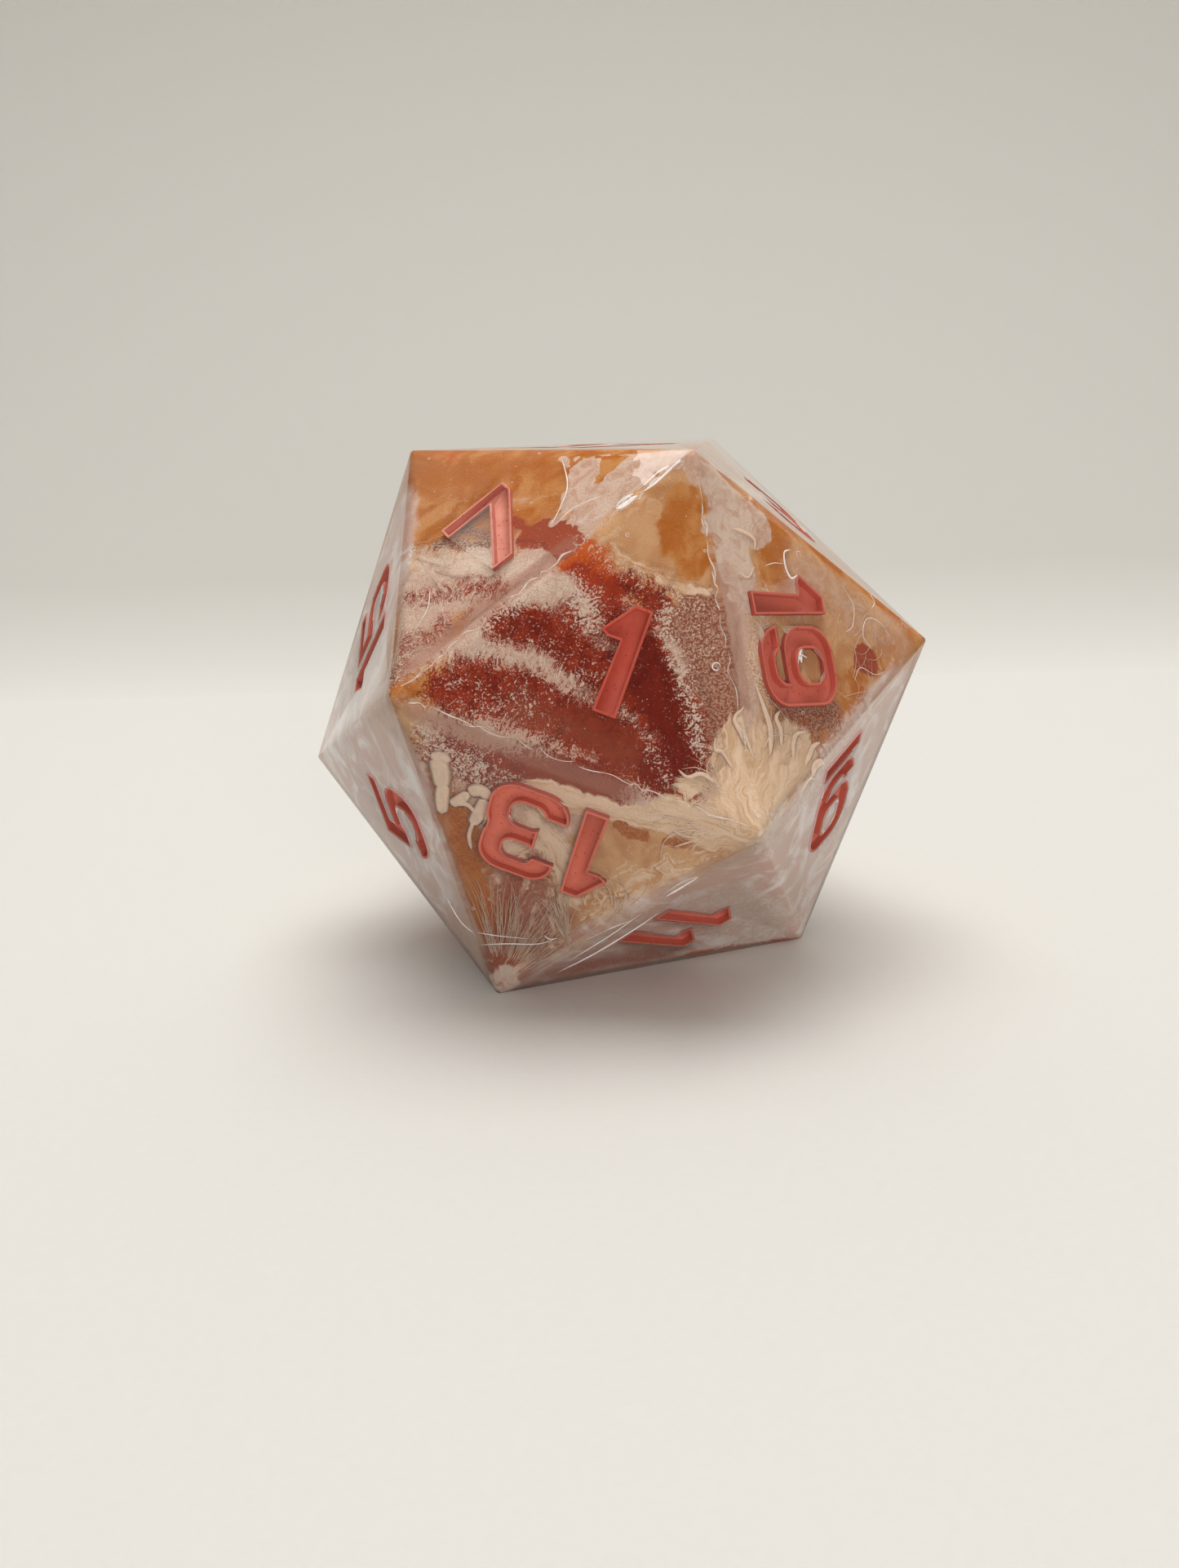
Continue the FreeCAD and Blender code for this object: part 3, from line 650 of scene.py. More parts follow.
def pour_material(name, warmth):
    """Coloured resin under the clear skin: every pour shows the same drifting layers."""
    s = Shader(name)
    amber, deep, rust = s.fields("warm")
    dark, rose, brown = s.fields("red")
    mauve, milk, speckle = s.fields("pale")
    band, veil_and_sheen, haze = s.fields("edge")
    frost_and_sheen, film, tan = s.fields("soft")
    maroon, red_along, red_side = s.fields("maroon")
    fur, fur_along, fur_side = s.fields("fur")
    cream, cream_along, cream_side = s.fields("cream")

    cloud = s.noise(0.45, 5.0, 0.55, 0.6)
    wisps = s.noise(1.1, 6.0, 0.62, 1.2)
    swirl = s.noise(0.35, 4.0, 0.5, 1.6)
    stipple = s.noise(9.0, 2.0, 0.6)

    def hairs(along, side):
        """Short hairs that stand across a stroke."""
        return s.noise(1.0, 3.0, 0.6, 0.3, s.combine(s.scaled(along, 9.0), s.scaled(side, 2.4), cloud))

    red_hairs = hairs(red_along, red_side)
    fur_hairs = hairs(fur_along, fur_side)
    strands = s.noise(1.0, 5.0, 0.6, 0.3,
                      s.combine(s.scaled(cream_along, 0.3), s.scaled(cream_side, 4.5), s.scaled(wisps, 0.9)))

    milky = s.mix(s.step(wisps, 0.35, 0.65), MILK_GREY, MILK)
    milky = s.mix(s.step(stipple, 0.4, 0.62), s.mix(0.5, milky, MILK_GREY), milky)
    amber_tone = s.mix(s.step(s.noise(0.38, 4.0, 0.5, 1.2), 0.36, 0.64), AMBER_LIGHT, AMBER_DEEP)
    sparkle = s.step(s.cells(2.6), 0.13, 0.07)
    amber_tone = s.mix(s.scaled(sparkle, 0.25), amber_tone, GOLD)
    red = s.mix(s.step(s.noise(1.6, 5.0, 0.65, 0.5), 0.38, 0.62), MAROON, MAROON_DARK)
    red = s.mix(s.value("MULTIPLY", s.step(stipple, 0.42, 0.6), 0.55), red, MAROON)

    def share(amount, *rough):
        """A field with weighted noises added about their middle."""
        total = amount
        for texture, weight in rough:
            total = s.value("ADD", total, s.scaled(s.value("SUBTRACT", texture, 0.5), weight))
        return total

    colour = s.mix(warmth, milky, amber_tone)

    def lay(tone, amount, low, high, most=1.0):
        """Covers the colour so far with a tone, from nothing at a low amount to the most at a high one."""
        nonlocal colour
        colour = s.mix(s.scaled(s.step(amount, low, high), most), colour, tone)

    lay(milky, share(milk, (wisps, 1.6)), 0.25, 0.75)
    lay(s.mix(s.step(swirl, 0.36, 0.64), TAN_DEEP, TAN), share(tan, (wisps, 1.0)), 0.3, 0.75)
    lay(amber_tone, share(amber, (wisps, 1.4)), 0.3, 0.8)
    lay(milky, share(haze, (wisps, 1.6)), 0.2, 1.0, 0.7)
    # the pale side faces: partly the pour's own pale colour, partly painted reflection of the bright room
    lay(s.mix(s.step(swirl, 0.42, 0.72), PINK_FROST, FROST), share(frost_and_sheen, (cloud, 1.2)), 0.2, 0.8)
    lay(AMBER_DEEP, share(deep, (wisps, 1.3)), 0.3, 0.9, 0.85)
    rust_tone = s.mix(s.step(s.value("ADD", maroon, wisps), 0.4, 0.8), RUST, RUST_RED)
    lay(rust_tone, share(rust, (wisps, 1.2), (stipple, 1.8)), 0.3, 0.75)
    lay(s.mix(s.step(stipple, 0.42, 0.6), BROWN_MAUVE, STIPPLE_GREY), share(speckle, (wisps, 1.0)), 0.3, 0.7)
    lay(red, share(maroon, (red_hairs, 1.7), (stipple, 2.0), (wisps, 0.8)), 0.34, 0.66)
    lay(MAROON_DARK, share(dark, (wisps, 0.8)), 0.3, 0.9, 0.75)
    lay(ROSE, share(rose, (wisps, 0.8)), 0.36, 0.62)
    lay(MAUVE, mauve, 0.1, 1.0, 0.8)
    lay(s.mix(s.step(stipple, 0.36, 0.64), BROWN, AMBER_DEEP), share(brown, (wisps, 1.2)), 0.3, 0.8, 0.85)
    fur_share = share(fur, (fur_hairs, 1.8), (stipple, 2.6), (wisps, 1.0))
    lay(FUR_WHITE, fur_share, 0.42, 0.95, 0.92)
    pits = s.value("MULTIPLY", s.step(s.cells(1.7), 0.16, 0.06), s.step(maroon, 0.2, 0.8))
    colour = s.mix(s.scaled(pits, 0.7), colour, MAROON_DARK)
    cream_share = share(cream, (strands, 1.3), (wisps, 1.0))
    lay(s.mix(s.step(strands, 0.36, 0.62), CREAM_SHADE, CREAM), cream_share, 0.34, 0.8)
    # painted reflection: a mauve band along the edges shared with face 1, for that face's colours seen
    # reflected inside the resin
    colour = s.mix(s.scaled(band, 0.55), colour, s.mix(0.32, MAUVE, MILK_GREY))
    threads = s.noise(1.6, 6.0, 0.7, 2.2)
    # white streaks on faces 9 and 11: partly ink, partly painted reflection of the bright floor
    lay(s.mix(s.step(threads, 0.46, 0.62), MILK, FROST), share(veil_and_sheen, (threads, 2.4)), 0.4, 0.7, 0.62)
    lay(s.mix(s.step(wisps, 0.36, 0.6), FILM, FILM_PALE), share(film, (wisps, 0.9)), 0.38, 0.55, 0.82)
    relief = s.value("ADD", s.scaled(s.value("ADD", fur_share, cream_share), 0.5), stipple)
    s.surface(Base_Color=colour, Roughness=0.5, Specular_IOR_Level=0.05, Normal=s.bump(relief, 0.03))
    return s.material


def thread_material(name, pale, shade):
    """Ink in thin threads, streaked along its length."""
    s = Shader(name)
    streak = s.noise(3.0, 4.0, 0.6, 0.8)
    tone = s.mix(s.step(streak, 0.3, 0.7), shade, pale)
    s.surface(Base_Color=tone, Roughness=s.scaled(streak, 0.8), Specular_IOR_Level=0.1,
              Normal=s.bump(streak, 0.02))
    return s.material


def mica_material():
    """Pearly gold flakes."""
    s = Shader("gold_mica")
    shade = s.noise(4.0, 2.0, 0.5)
    s.surface(Base_Color=s.mix(shade, GOLD, FROST), Metallic=0.5, Roughness=s.scaled(shade, 0.5))
    return s.material


def resin_material():
    """Clear polished resin; lamps reach what it encloses."""
    s = Shader("clear_resin")
    scuffs = s.step(s.noise(2.2, 6.0, 0.7), 0.56, 0.8)
    ripple = s.noise(0.35, 2.0, 0.5)
    glass = s.surface(Base_Color=RESIN_TINT, IOR=RESIN_INDEX, Transmission_Weight=1.0,
                      Roughness=s.value("ADD", s.scaled(scuffs, 0.12), 0.02), Normal=s.bump(ripple, 0.06))
    lamp_path = s.add("ShaderNodeBsdfTransparent")
    path = s.add("ShaderNodeLightPath")
    join = s.add("ShaderNodeMixShader")
    s.feed(join.inputs[0], path.outputs["Is Shadow Ray"])
    s.feed(join.inputs[1], glass.outputs[0])
    s.feed(join.inputs[2], lamp_path.outputs[0])
    s.feed(s.output.inputs["Surface"], join.outputs[0])
    return s.material


def paint_material():
    """Coral acrylic paint, uneven and flecked, darker on the walls of a numeral, partly where it pools thick
    and partly as painted shade, and paler or redder by numeral as painted light.
    """
    s = Shader("number_paint")
    blotch = s.noise(1.4, 4.0, 0.6)
    fleck = s.step(s.cells(3.2), 0.10, 0.16)
    wall = s.add("ShaderNodeAttribute", attribute_name="wall").outputs["Fac"]
    red = s.add("ShaderNodeAttribute", attribute_name="red").outputs["Fac"]
    # painted light and shade: each numeral's paint is set paler or redder to copy how its face is lit
    even = s.mix(red, PAINT_PALE, PAINT_RED)
    tone = s.mix(s.scaled(s.step(blotch, 0.35, 0.7), 0.5), even, s.mix(red, PAINT, PAINT_WARM))
    tone = s.mix(fleck, PAINT_DARK, tone)
    # painted shade: the walls of a numeral are darkened, partly for paint that pools thick there
    tone = s.mix(s.scaled(wall, 0.6), tone, PAINT_DARK)
    s.surface(Base_Color=tone, Roughness=s.value("ADD", s.scaled(blotch, 0.3), 0.5),
              Normal=s.bump(blotch, 0.03))
    return s.material


def paper_material():
    """Warm white paper of the floor and the backdrop, with painted shade that darkens it up the sweep."""
    s = Shader("paper")
    fibre = s.noise(2.0, 4.0, 0.6)
    height = s.add("ShaderNodeSeparateXYZ")
    s.feed(height.inputs[0], s.place)
    tone = s.mix(fibre, PAPER, PAPER_PALE)
    # painted shade: the paper darkens as it rises up the sweep
    rise = s.value("POWER", s.value("DIVIDE", height.outputs["Z"], SHADE_HEIGHT, clamp=True), 0.5)
    tone = s.mix(rise, tone, PAPER_SHADED)
    s.surface(Base_Color=tone, Roughness=0.9, Normal=s.bump(fibre, 0.02))
    return s.material


# ---------------------------------------------------------------- pieces


def new_object(name, data):
    """Adds a mesh, lamp or camera to the scene."""
    made = bpy.data.objects.new(name, data)
    bpy.context.scene.collection.objects.link(made)
    return made


def new_piece(name, mesh, material):
    """Adds a mesh to the scene as a piece that rides on the die."""
    piece = new_object(name, mesh)
    mesh.materials.clear()
    mesh.materials.append(material)
    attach(piece, "root")
    return piece


def pour_of(middle):
    """Which pour a point of the core's surface belongs to."""
    if (middle - FACE[1].point(0.0, 0.0, CORE_DEPTH)).length < BLOOM_RADIUS:
        return "maroon_ink_bloom"
    if (middle - CORNERS["C"]).length < PLUME_RADIUS:
        return "cream_ink_plume"
    tilt = math.radians(AMBER_TILT)
    height = middle.z * math.cos(tilt) + middle.y * math.sin(tilt)
    return "amber_mica_pour" if height > AMBER_LEVEL * ACROSS_FLATS * math.cos(tilt) else "cloudy_pink_pour"


# Each pour's material slot, and how amber it is where no stroke covers it
POURS = {"maroon_ink_bloom": ("maroon_ink", 0.0), "cream_ink_plume": ("cream_ink", 0.0),
         "amber_mica_pour": ("amber_mica", 0.75), "cloudy_pink_pour": ("cloudy_pink", 0.1)}


def add_pours():
    """The coloured core in its four pours, each closed towards the middle of the die."""
    points, triangles = core_grid()
    fields, flow = colour_fields(points)
    shares = {node: [] for node in POURS}
    for triangle in triangles:
        middle = sum((points[i] for i in triangle), Vector()) / 3.0
        shares[pour_of(middle)].append(triangle)
    for node, own in shares.items():
        slot, warmth = POURS[node]
        keep = sorted({i for triangle in own for i in triangle})
        place = {i: k for k, i in enumerate(keep)}
        faces = [tuple(place[i] for i in triangle) for triangle in own]
        sides = dict.fromkeys(side for face in faces for side in zip(face, face[1:] + face[:1]))
        hub = len(keep)
        rim = [(b, a, hub) for a, b in sides if (b, a) not in sides]
        mesh = bpy.data.meshes.new(slot)
        mesh.from_pydata([points[i] * MM for i in keep] + [CENTRE * MM], [], faces + rim)
        mesh.shade_smooth()
        mesh.set_sharp_from_angle(angle=POUR_CREASE)
        store_fields(mesh, fields, flow, keep + keep[:1])
        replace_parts(new_piece(slot, mesh, pour_material(slot, warmth)), node)


@contextmanager
def edited(mesh):
    """Opens a mesh for changes to its shape, and writes them back at the end."""
    shape = bmesh.new()
    shape.from_mesh(mesh)
    yield shape
    shape.to_mesh(mesh)
    shape.free()


def cad_copy(node):
    """A welded copy of a CAD node's mesh."""
    mesh = NODES[node].data.copy()
    with edited(mesh) as shape:
        bmesh.ops.remove_doubles(shape, verts=shape.verts, dist=WELD_GAP * MM)
    return mesh


def keep_outer_shell(shape):
    """Removes every closed shell but the highest, so that the casting loses its inner cavity."""
    waiting = set(shape.verts)
    shells = []
    while waiting:
        shell, edge = set(), [waiting.pop()]
        while edge:
            vert = edge.pop()
            shell.add(vert)
            for link in vert.link_edges:
                other = link.other_vert(vert)
                if other in waiting:
                    waiting.remove(other)
                    edge.append(other)
        shells.append(shell)
    outer = max(shells, key=lambda shell: max(v.co.z for v in shell))
    bmesh.ops.delete(shape, geom=[v for v in shape.verts if v not in outer], context="VERTS")


# Air bubbles in the skin: face, x and y in hundredths of an edge, radius in mm
BUBBLES = [(1, 25, 7, 0.2), (1, -8, 31, 0.09), (1, 12, 34, 0.07), (7, -20, 16, 0.13), (7, 2, 48, 0.08),
           (7, 24, 14, 0.08), (7, 12, -2, 0.07), (19, -24, 6, 0.14), (19, 20, -4, 0.1), (19, 6, 40, 0.08),
           (13, 14, 30, 0.09), (13, -24, 6, 0.08), (5, 10, 12, 0.1), (9, -8, 20, 0.12), (10, 14, 8, 0.14),
           (8, -14, 22, 0.12), (16, 18, -12, 0.12), (12, -20, -4, 0.1), (2, 8, 20, 0.12)]


def add_casting():
    """The clear casting, with its engraved numerals and a few bubbles."""
    mesh = cad_copy("clear_resin_body")
    with edited(mesh) as shape:
        keep_outer_shell(shape)
        for number, x, y, radius in BUBBLES:
            place = Matrix.Translation(FACE[number].point(x / 100.0, y / 100.0, BUBBLE_DEPTH) * MM)
            made = bmesh.ops.create_icosphere(shape, subdivisions=2, radius=radius * MM, matrix=place)
            bmesh.ops.reverse_faces(shape, faces=list({f for v in made["verts"] for f in v.link_faces}))
    mesh.set_sharp_from_angle(angle=CASTING_CREASE)
    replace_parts(new_piece("clear_casting", mesh, resin_material()), "clear_resin_body")


# How red the paint of a numeral is, from pale coral at 0: painted light and shade, palest on face 7, which
# faces the lamp above
PAINT_LIGHT_AND_SHADE = {1: 0.9, 7: 0.1, 13: 0.62, 19: 0.72, 5: 0.6, 9: 0.6, 11: 0.6, 15: 0.35}


def add_number_paint():
    """The paint in each numeral, a hair thicker than in CAD so that it grips the resin."""
    material = paint_material()
    for number in range(1, 21):
        node = f"number_paint_{number:02d}"
        mesh = cad_copy(node)
        with edited(mesh) as shape:
            shape.normal_update()
            for vert in shape.verts:
                vert.co += vert.normal * PAINT_GRIP * MM
            # the faces of a numeral's walls, which the paint darkens, partly as painted shade
            walls = [float(abs(f.normal.dot(FACE[number].out)) < WALL_SLOPE) for f in shape.faces]
        for name, values in (("wall", walls), ("red", [PAINT_LIGHT_AND_SHADE.get(number, 0.5)] * len(walls))):
            mesh.attributes.new(name, "FLOAT", "FACE").data.foreach_set("value", values)
        mesh.set_sharp_from_angle(angle=PAINT_CREASE)
        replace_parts(new_piece(f"paint_{number:02d}", mesh, material), node)


def smooth_route(points):
    """A smooth line through the points."""
    ends = [points[0] * 2.0 - points[1]] + points + [points[-1] * 2.0 - points[-2]]
    line = []
    for before, start, end, after in zip(ends, ends[1:], ends[2:], ends[3:]):
        squared = 2.0 * before - 5.0 * start + 4.0 * end - after
        cubed = 3.0 * start - before - 3.0 * end + after
        for step in range(THREAD_STEPS):
            t = step / THREAD_STEPS
            line.append(0.5 * (2.0 * start + (end - before) * t + squared * t ** 2 + cubed * t ** 3))
    return line + [points[-1]]


def add_thread(shape, route, out, width, thickness, blunt=0.35, taper=0.6):
    """Adds a closed flat thread along a route, fine at its ends and widest where its blunt share starts."""
    line = smooth_route(route)
    widest = 1.0 - blunt
    rings = []
    for k, point in enumerate(line):
        ahead = line[min(k + 1, len(line) - 1)] - line[max(k - 1, 0)]
        side = ahead.cross(out).normalized()
        share = k / (len(line) - 1)
        phase = share / widest * 0.5 if share < widest else 0.5 + (share - 1.0 + blunt) / blunt * 0.5
        swell = math.sin(math.pi * min(1.0, phase)) ** taper + THREAD_TIP
        ring_verts = []
        for corner in range(THREAD_SIDES):
            angle = math.radians(360.0 / THREAD_SIDES * corner)
            offset = side * (math.cos(angle) * width * swell) + out * (math.sin(angle) * thickness * swell)
            ring_verts.append(shape.verts.new((point + offset) * MM))
        rings.append(ring_verts)
    for one, two in zip(rings, rings[1:]):
        for corner in range(THREAD_SIDES):
            following = (corner + 1) % THREAD_SIDES
            shape.faces.new((one[corner], one[following], two[following], two[corner]))
    shape.faces.new(reversed(rings[0]))
    shape.faces.new(rings[-1])


def add_face_thread(shape, number, width, points, depths, thickness, **ends):
    """Adds a thread on a face through points in hundredths of an edge, from one depth evenly to another."""
    first, last = depths
    face = FACE[number]
    route = [face.point(x / 100.0, y / 100.0, first + (last - first) * k / (len(points) - 1))
             for k, (x, y) in enumerate(points)]
    add_thread(shape, route, face.out, width, thickness, **ends)


def on_face(points):
    """Whether points in hundredths of an edge all lie on the face, clear of its edges."""
    return all(y > FACE_MARGIN - 28.9 and abs(x) < (57.7 - y) / math.sqrt(3.0) - FACE_MARGIN
               for x, y in points)


def finished(shape):
    """The mesh of a bmesh, with its normals outward."""
    bmesh.ops.recalc_face_normals(shape, faces=shape.faces)
    mesh = bpy.data.meshes.new("threads")
    shape.to_mesh(mesh)
    shape.free()
    mesh.shade_smooth()
    return mesh


# Fans of fingers: face, root, direction and spread in degrees, how many, least and most length in mm, the
# share of its length where a finger starts at the earliest, half width in mm, and curl
FANS = [
    (19, (45, -27), 146, 70, 44, 4, 6.6, 0.4, 0.02, 0.4),
    (1, (45, -27), 156, 52, 38, 2.2, 4.2, 0.3, 0.02, 0.28),
    (13, (-45, -27), 20, 34, 16, 2.4, 5, 0.3, 0.05, 0.1),
    (9, (45, -27), 150, 60, 14, 2, 3.5, 0.1, 0.04, 0.1),
    (13, (0, 54), 266, 62, 150, 3.4, 8.4, 0.1, 0.013, 0.03),
    (13, (-15, 31), 298, 26, 44, 2, 4.6, 0, 0.014, 0.04),
    (13, (-22, 18), 250, 30, 16, 1.5, 5, 0, 0.02, 0.3),
    (19, (-8, 34), 300, 160, 26, 1.5, 5, 0, 0.014, 0.6),
    (19, (16, 14), 80, 120, 16, 1.5, 4, 0, 0.014, 0.6),
    (7, (-24, 26), 296, 40, 20, 2.5, 8.4, 0.3, 0.01, 0.05),
    (7, (-46, -27), 40, 60, 30, 1, 2.6, 0, 0.012, 0.2),
    (20, (1, 50), 268, 60, 44, 4, 7, 0, 0.05, 0.16),
    (2, (45, -27), 150, 50, 26, 3.5, 6, 0.2, 0.05, 0.25),
    (14, (45, -27), 150, 50, 26, 3.5, 6, 0.2, 0.05, 0.25),
    (10, (45, -27), 150, 50, 22, 3, 5, 0.2, 0.05, 0.25),
]
# Claws and blobs of cream ink: face, half width in mm, points in hundredths of an edge
CLAWS = [
    (19, 0.2, [(34, -7), (31, -4), (29, -2), (28, 1)]),
    (19, 0.17, [(37, -5), (34, -3), (33, 0), (34, 2)]),
    (19, 0.19, [(32, -11), (28, -10), (25.5, -8), (25, -4)]),
    (19, 0.13, [(41, -9), (38, -7), (37, -5), (38, -2)]),
    (19, 0.24, [(31, -20), (24, -18), (18, -19), (11, -21)]),
    (19, 0.2, [(29, -15), (24, -14), (21, -15), (19, -13)]),
    (19, 0.14, [(-30, -19), (-29, -14), (-27, -11), (-24, -12)]),
    (19, 0.1, [(-18, -20), (-17, -16), (-20, -13)]),
    (1, 0.14, [(42, -12), (37, -7), (34, -4), (35, 0)]),
    (1, 0.11, [(38, -16), (34, -13), (32, -13), (31, -10)]),
    (1, 0.12, [(36, -21), (31, -20), (28, -22), (25, -21)]),
]
# Blobs of cream ink with round ends, in the same terms
BLOBS = [
    (13, 0.42, [(29.2, 2), (30.4, -3), (31, -8)]),
    (13, 0.56, [(31, -6), (32.5, -11), (34.4, -15)]),
    (13, 0.34, [(31, -15), (33, -16), (36, -14.6)]),
    (13, 0.44, [(20.8, 2), (19.6, -3), (19, -8)]),
    (13, 0.42, [(18, -8.5), (21, -10), (24, -8)]),
    (13, 0.34, [(24, -8), (25.4, -5), (27.6, -2)]),
    (13, 0.16, [(20, -2), (23.5, -4), (26, -3)]),
    (13, 0.13, [(19, 10), (20.6, 6), (20.6, 0)]),
]
# Lone lines of white ink, among them painted glints near corner B and in the bowl of the 9 and a painted
# highlight at a cluster of bubbles: face, half width in mm, points in hundredths of an edge
LINES = [
    (13, 0.045, [(-11, 29), (-6, 34), (2, 38), (9, 42)]),
    (13, 0.035, [(-4, 33), (4, 36), (11, 38)]),
    (13, 0.05, [(-11, 29), (-9, 30.5), (-7, 30)]),
    (13, 0.05, [(-40, -8), (-37, -3), (-34, 2)]),
    (13, 0.04, [(-40, -8), (-37, -6), (-33, 1)]),
    (13, 0.04, [(-34, 8), (-30, 16), (-22, 30), (-14, 42)]),
    (13, 0.03, [(-30, 10), (-24, 22), (-16, 36)]),
    (13, 0.035, [(-28, 14), (-23, 20), (-18, 26)]),
    (13, 0.03, [(10, 40), (16, 37), (22, 30)]),
    (19, 0.025, [(0, 41), (-5, 37), (-6, 31), (-1, 28), (3, 31)]),
    (19, 0.025, [(-16, 22), (-10, 26), (-4, 24), (-2, 20)]),
    # a painted highlight at a cluster of bubbles
    (19, 0.08, [(-25, 3), (-24, 0), (-20, -0.5), (-17, 1), (-18, 4)]),
    (19, 0.02, [(9, 36), (10, 30), (8, 24), (12, 20)]),
    # a painted glint in the bowl of the 9
    (19, 0.11, [(2.5, 1), (4.5, -0.5), (6.5, -1)]),
    (19, 0.05, [(3, -1.5), (4.4, 0.4), (5, 1.8)]),
    (19, 0.03, [(-14, 34), (-11, 36), (-9, 34)]),
    (19, 0.025, [(-21, -1), (-21, -5), (-20, -9)]),
    # painted glints on the edge towards corner B
    (1, 0.06, [(-1.5, 55), (-4, 50), (-6, 46), (-8, 43)]),
    (1, 0.12, [(-9, 41.5), (-11, 38.5), (-13, 36)]),
    (1, 0.06, [(-9.5, 39), (-11, 40.5), (-12.5, 38)]),
    # painted glints on the same edge, seen on face 7
    (7, 0.09, [(25, -27.5), (28, -26.5), (31, -27.6)]),
    (7, 0.06, [(34, -27.6), (39, -27), (43, -27.8)]),
    (7, 0.04, [(10, -16), (16, -12), (22, -6), (27, 6)]),
    (7, 0.03, [(11, -17), (18, -16), (26, -20)]),
    (7, 0.025, [(-34, -14), (-28, -10), (-24, -4)]),
    (12, 0.05, [(-10, 20), (-4, 14), (4, 18), (10, 12)]),
    (16, 0.05, [(10, -20), (4, -12), (8, -4), (2, 2)]),
    (8, 0.05, [(18, 16), (12, 20), (14, 26), (20, 24)]),
]


def add_fan(shape, chance, number, root, heading, spread, count, shortest, longest, inner, width, twist):
    """Adds the fingers of one fan, those that would leave their face left out."""
    for k in range(count):
        angle = math.radians(heading + spread * ((k + chance.uniform(-0.4, 0.4)) / (count - 1) - 0.5))
        length = chance.uniform(shortest, longest) / EDGE * 100.0
        start = chance.uniform(inner, FINGER_LATEST)
        curl = chance.gauss(0.0, twist)
        hook = chance.gauss(0.0, twist * 2.0)
        points = []
        for joint in FINGER_JOINTS:
            share = start + (1.0 - start) * joint
            turn = angle + curl * share + hook * share ** 5
            reach = length * share
            points.append((root[0] + math.cos(turn) * reach, root[1] + math.sin(turn) * reach))
        if on_face(points):
            depths = (chance.uniform(*FINGER_ROOTS), chance.uniform(*FINGER_TIPS))
            own_width = width * chance.uniform(*FINGER_WIDTHS)
            add_face_thread(shape, number, own_width, points, depths, THIN, blunt=BLUNT_ROOT)


def add_ink_threads():
    """Fingers, claws and blobs of cream ink that float in the clear skin."""
    chance = random.Random(7)
    shape = bmesh.new()
    for fan in FANS:
        add_fan(shape, chance, *fan)
    for claw in CLAWS:
        add_face_thread(shape, *claw, CLAW_DEPTHS, THICK, blunt=BLUNT_ROOT)
    for blob in BLOBS:
        add_face_thread(shape, *blob, BLOB_DEPTHS, THICK, taper=ROUND_ENDS)
    new_piece("ink_threads", finished(shape), thread_material("ink_threads", CREAM, MILK))


def add_white_lines():
    """Lone lines of white ink with painted glints among them, and the bubbles' rims painted bright as
    highlights.
    """
    shape = bmesh.new()
    for line in LINES:
        add_face_thread(shape, *line, LINE_DEPTHS, THIN)
    # painted highlights: a bright white ring around each bubble
    for number, x, y, radius in BUBBLES:
        size = radius / EDGE * 100.0
        angles = [RIM_TURN * k for k in range(RIM_POINTS)]
        rim = [(x + size * math.cos(angle), y + size * math.sin(angle)) for angle in angles]
        add_face_thread(shape, number, radius * RIM_WIDTH, rim, RIM_DEPTHS, RIM_THIN)
    new_piece("white_ink_and_glints", finished(shape), thread_material("white_ink_and_glints", WHITE_INK_AND_GLINT, FROST))


# Pieces of the worn seam: where they lie along an edge and how long they are, as shares of it, and their
# depth, drift to the side and half width in mm
SEAM_ENDS = (0.03, 0.97)
SEAM_LENGTHS = (0.03, 0.12)
SEAM_DEPTHS = (0.18, 0.34)
SEAM_DRIFTS = (-0.12, 0.12)
SEAM_WIDTHS = (0.010, 0.040)
SEAM_STRIDES = (0.5, 1.3)  # from one piece to the next, as a share of its length
SEAM_LEAST = 0.02          # room for a last piece


def add_seam():
    """The worn white line along the three edges of the face that closed the mould."""
    chance = random.Random(11)
    shape = bmesh.new()
    for start, end in ("AB", "BC", "CA"):
        along = CORNERS[end] - CORNERS[start]
        inward = (CENTRE - (CORNERS[start] + CORNERS[end]) / 2.0).normalized()
        aside = along.cross(inward).normalized()
        place, last = SEAM_ENDS
        while place < last - SEAM_LEAST:
            reach = min(chance.uniform(*SEAM_LENGTHS), last - place)
            route = []
            for k in range(4):
                depth = inward * chance.uniform(*SEAM_DEPTHS)
                drift = aside * chance.uniform(*SEAM_DRIFTS)
                route.append(CORNERS[start] + along * (place + reach * k / 3.0) + depth + drift)
            add_thread(shape, route, -inward, chance.uniform(*SEAM_WIDTHS), THIN)
            place += reach * chance.uniform(*SEAM_STRIDES)
    new_piece("seam_wear", finished(shape), thread_material("seam_wear", FROST, MILK))


# The faces that show mica, with those that show most repeated
MICA_FACES = (7, 7, 7, 1, 19, 19, 13, 17, 3, 10, 16, 12, 15, 8)


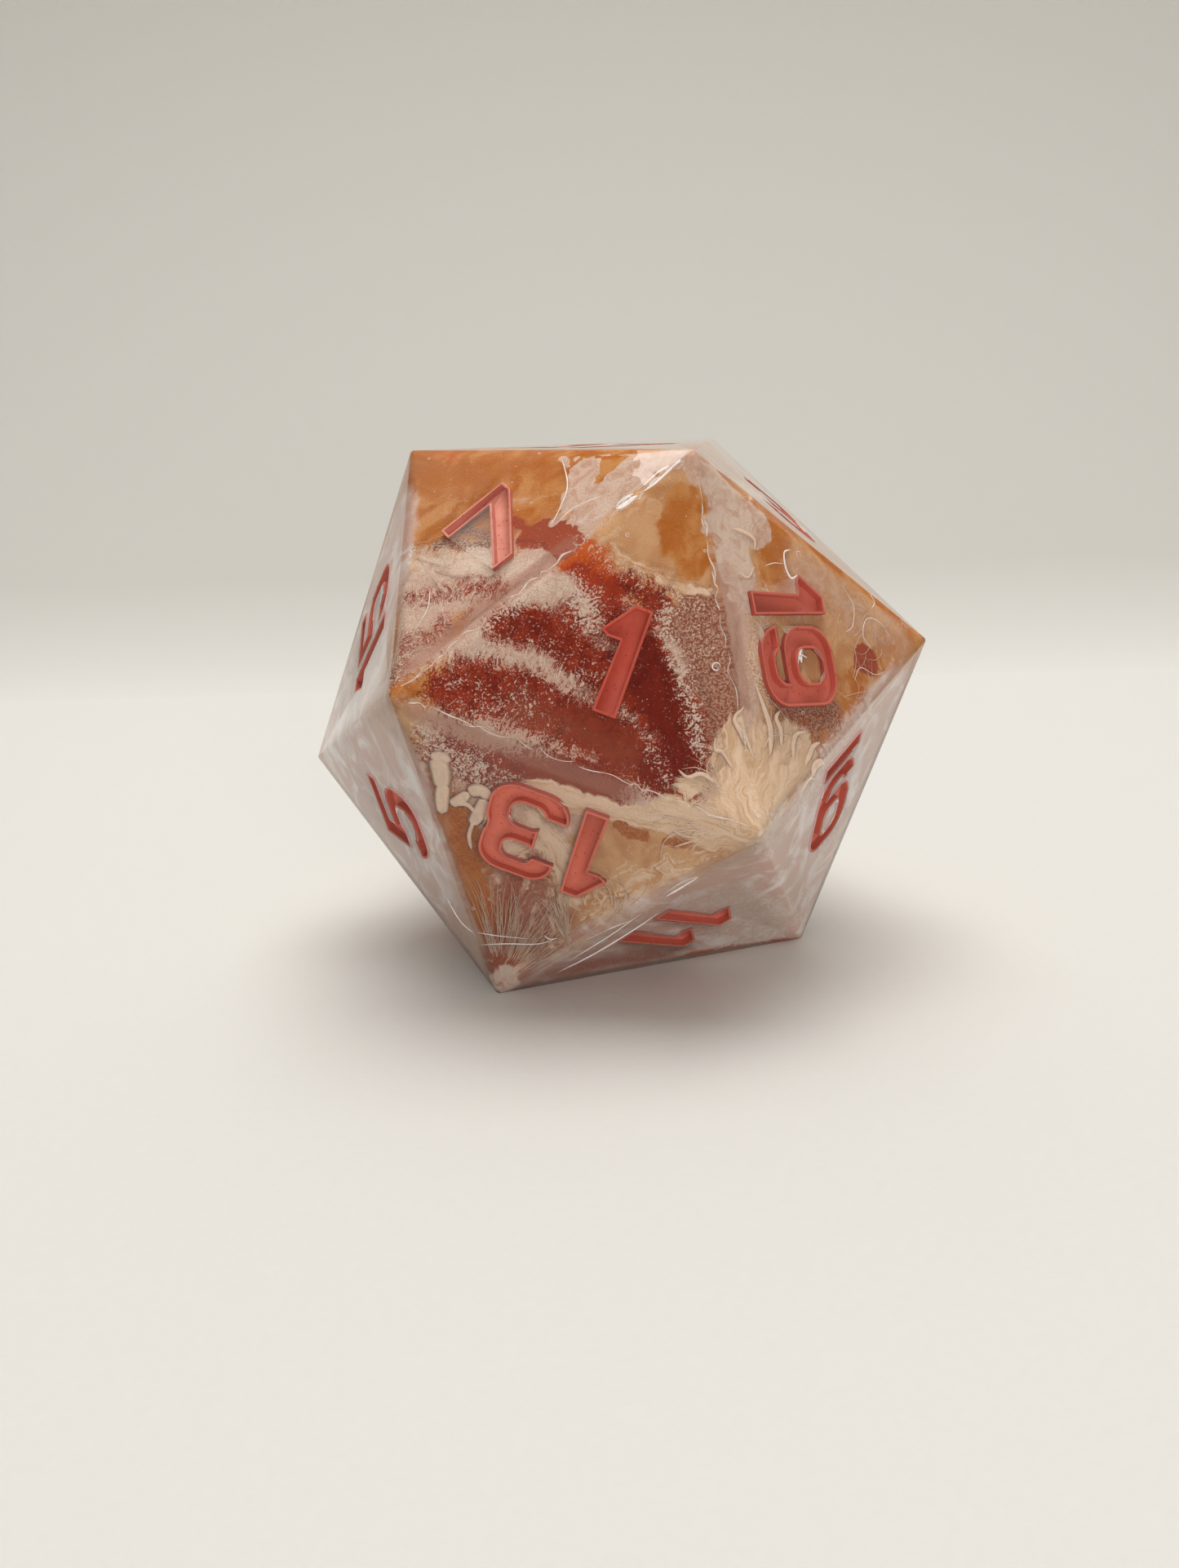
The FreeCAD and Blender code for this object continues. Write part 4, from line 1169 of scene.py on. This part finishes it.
def add_mica():
    """Flakes of gold mica in the skin over the amber pour."""
    chance = random.Random(3)
    shape = bmesh.new()
    for _ in range(MICA_FLAKES):
        face = FACE[chance.choice(MICA_FACES)]
        x, y = chance.uniform(*MICA_ACROSS), chance.uniform(*MICA_UP)
        if abs(x) > (MICA_TOP - y) * MICA_SLOPE:
            continue
        middle = face.point(x, y, chance.uniform(*MICA_DEPTHS))
        size = chance.uniform(*MICA_SIZES)
        tilt = Vector([chance.uniform(-0.5, 0.5) for _ in range(3)])
        axis = (face.out + tilt).normalized()
        side = axis.orthogonal().normalized()
        other = axis.cross(side)
        rim = [shape.verts.new((middle + (side * math.cos(a) + other * math.sin(a)) * size) * MM)
               for a in MICA_CORNERS]
        top = shape.verts.new((middle + axis * size * MICA_FLATNESS) * MM)
        foot = shape.verts.new((middle - axis * size * MICA_FLATNESS) * MM)
        for one, two in zip(rim, rim[1:] + rim[:1]):
            shape.faces.new((one, two, top))
            shape.faces.new((two, one, foot))
    mesh = finished(shape)
    mesh.shade_flat()
    new_piece("gold_mica", mesh, mica_material())


# ---------------------------------------------------------------- stage, light and camera

# The paper, mm
FLOOR_HALF = 900.0
SWEEP_START = 85.0         # from the die to where the paper starts to rise
SWEEP_RADIUS = 110.0
WALL_HEIGHT = 700.0
SWEEP_STEPS = 24
SHADE_HEIGHT = 9.0         # how high up its sweep the paper has darkened in full

# Each lamp: place and aim in mm from the die's foot as the camera sees it, size in mm, and power
OVERHEAD = ((0.0, 60.0, 420.0), (0.0, 10.0, 0.0), 350.0, 1.40)
FILL = ((60.0, -340.0, 80.0), (0.0, 0.0, 12.0), 156.0, 0.38)
LAMP_TINT = (1.0, 0.985, 0.965)
ROOM_TINT = srgb(236, 235, 232)
ROOM_STRENGTH = 0.235


def add_paper():
    """A sheet of paper that lies flat under the die and sweeps up behind it."""
    profile = [(-FLOOR_HALF, 0.0), (SWEEP_START, 0.0)]
    for step in range(1, SWEEP_STEPS + 1):
        angle = math.radians(90.0 * step / SWEEP_STEPS)
        rise = SWEEP_RADIUS * (1.0 - math.cos(angle))
        profile.append((SWEEP_START + SWEEP_RADIUS * math.sin(angle), rise))
    profile.append((SWEEP_START + SWEEP_RADIUS, WALL_HEIGHT))
    points = [VIEW_TURN @ Vector((x, y, z)) * MM for y, z in profile for x in (-FLOOR_HALF, FLOOR_HALF)]
    faces = [(2 * i, 2 * i + 1, 2 * i + 3, 2 * i + 2) for i in range(len(profile) - 1)]
    mesh = bpy.data.meshes.new("paper")
    mesh.from_pydata(points, [], faces)
    mesh.shade_smooth()
    mesh.materials.append(paper_material())
    paper = new_object("paper", mesh)


def add_lamp(name, place, aim, size, power):
    """A soft square lamp at a place, turned to its aim."""
    light = bpy.data.lights.new(name, "AREA")
    light.shape = "SQUARE"
    light.size = size * MM
    light.energy = power
    light.color = LAMP_TINT
    lamp = new_object(name, light)
    lamp.location = VIEW_TURN @ Vector(place) * MM
    lamp.rotation_mode = "QUATERNION"
    lamp.rotation_quaternion = (VIEW_TURN @ (Vector(aim) - Vector(place))).to_track_quat("-Z", "Y")
    return lamp


def add_light():
    """A wide lamp overhead, a little behind the die, a soft fill from the front, and an even grey room."""
    add_lamp("overhead", *OVERHEAD)
    fill = add_lamp("fill", *FILL)
    fill.visible_glossy = False
    world = bpy.data.worlds.new("room")
    world.use_nodes = True
    background = world.node_tree.nodes["Background"]
    background.inputs["Color"].default_value = ROOM_TINT
    background.inputs["Strength"].default_value = ROOM_STRENGTH
    bpy.context.scene.world = world
    bpy.context.scene.view_settings.view_transform = "Standard"


def add_camera():
    """The camera, at the height and turn from which the die is seen."""
    data = bpy.data.cameras.new("camera")
    data.sensor_fit = "AUTO"
    data.sensor_width = CAMERA_FILM
    data.lens = CAMERA_LENS
    data.clip_start = 0.001
    camera = new_object("camera", data)
    axes = Matrix((CAMERA_RIGHT, -CAMERA_DOWN, -CAMERA_FORWARD)).transposed()
    camera.matrix_world = Matrix.Translation(CAMERA_PLACE * MM) @ axes.to_4x4()
    bpy.context.scene.camera = camera


add_pours()
add_casting()
add_number_paint()
add_ink_threads()
add_white_lines()
add_seam()
add_mica()
add_paper()
add_light()
add_camera()
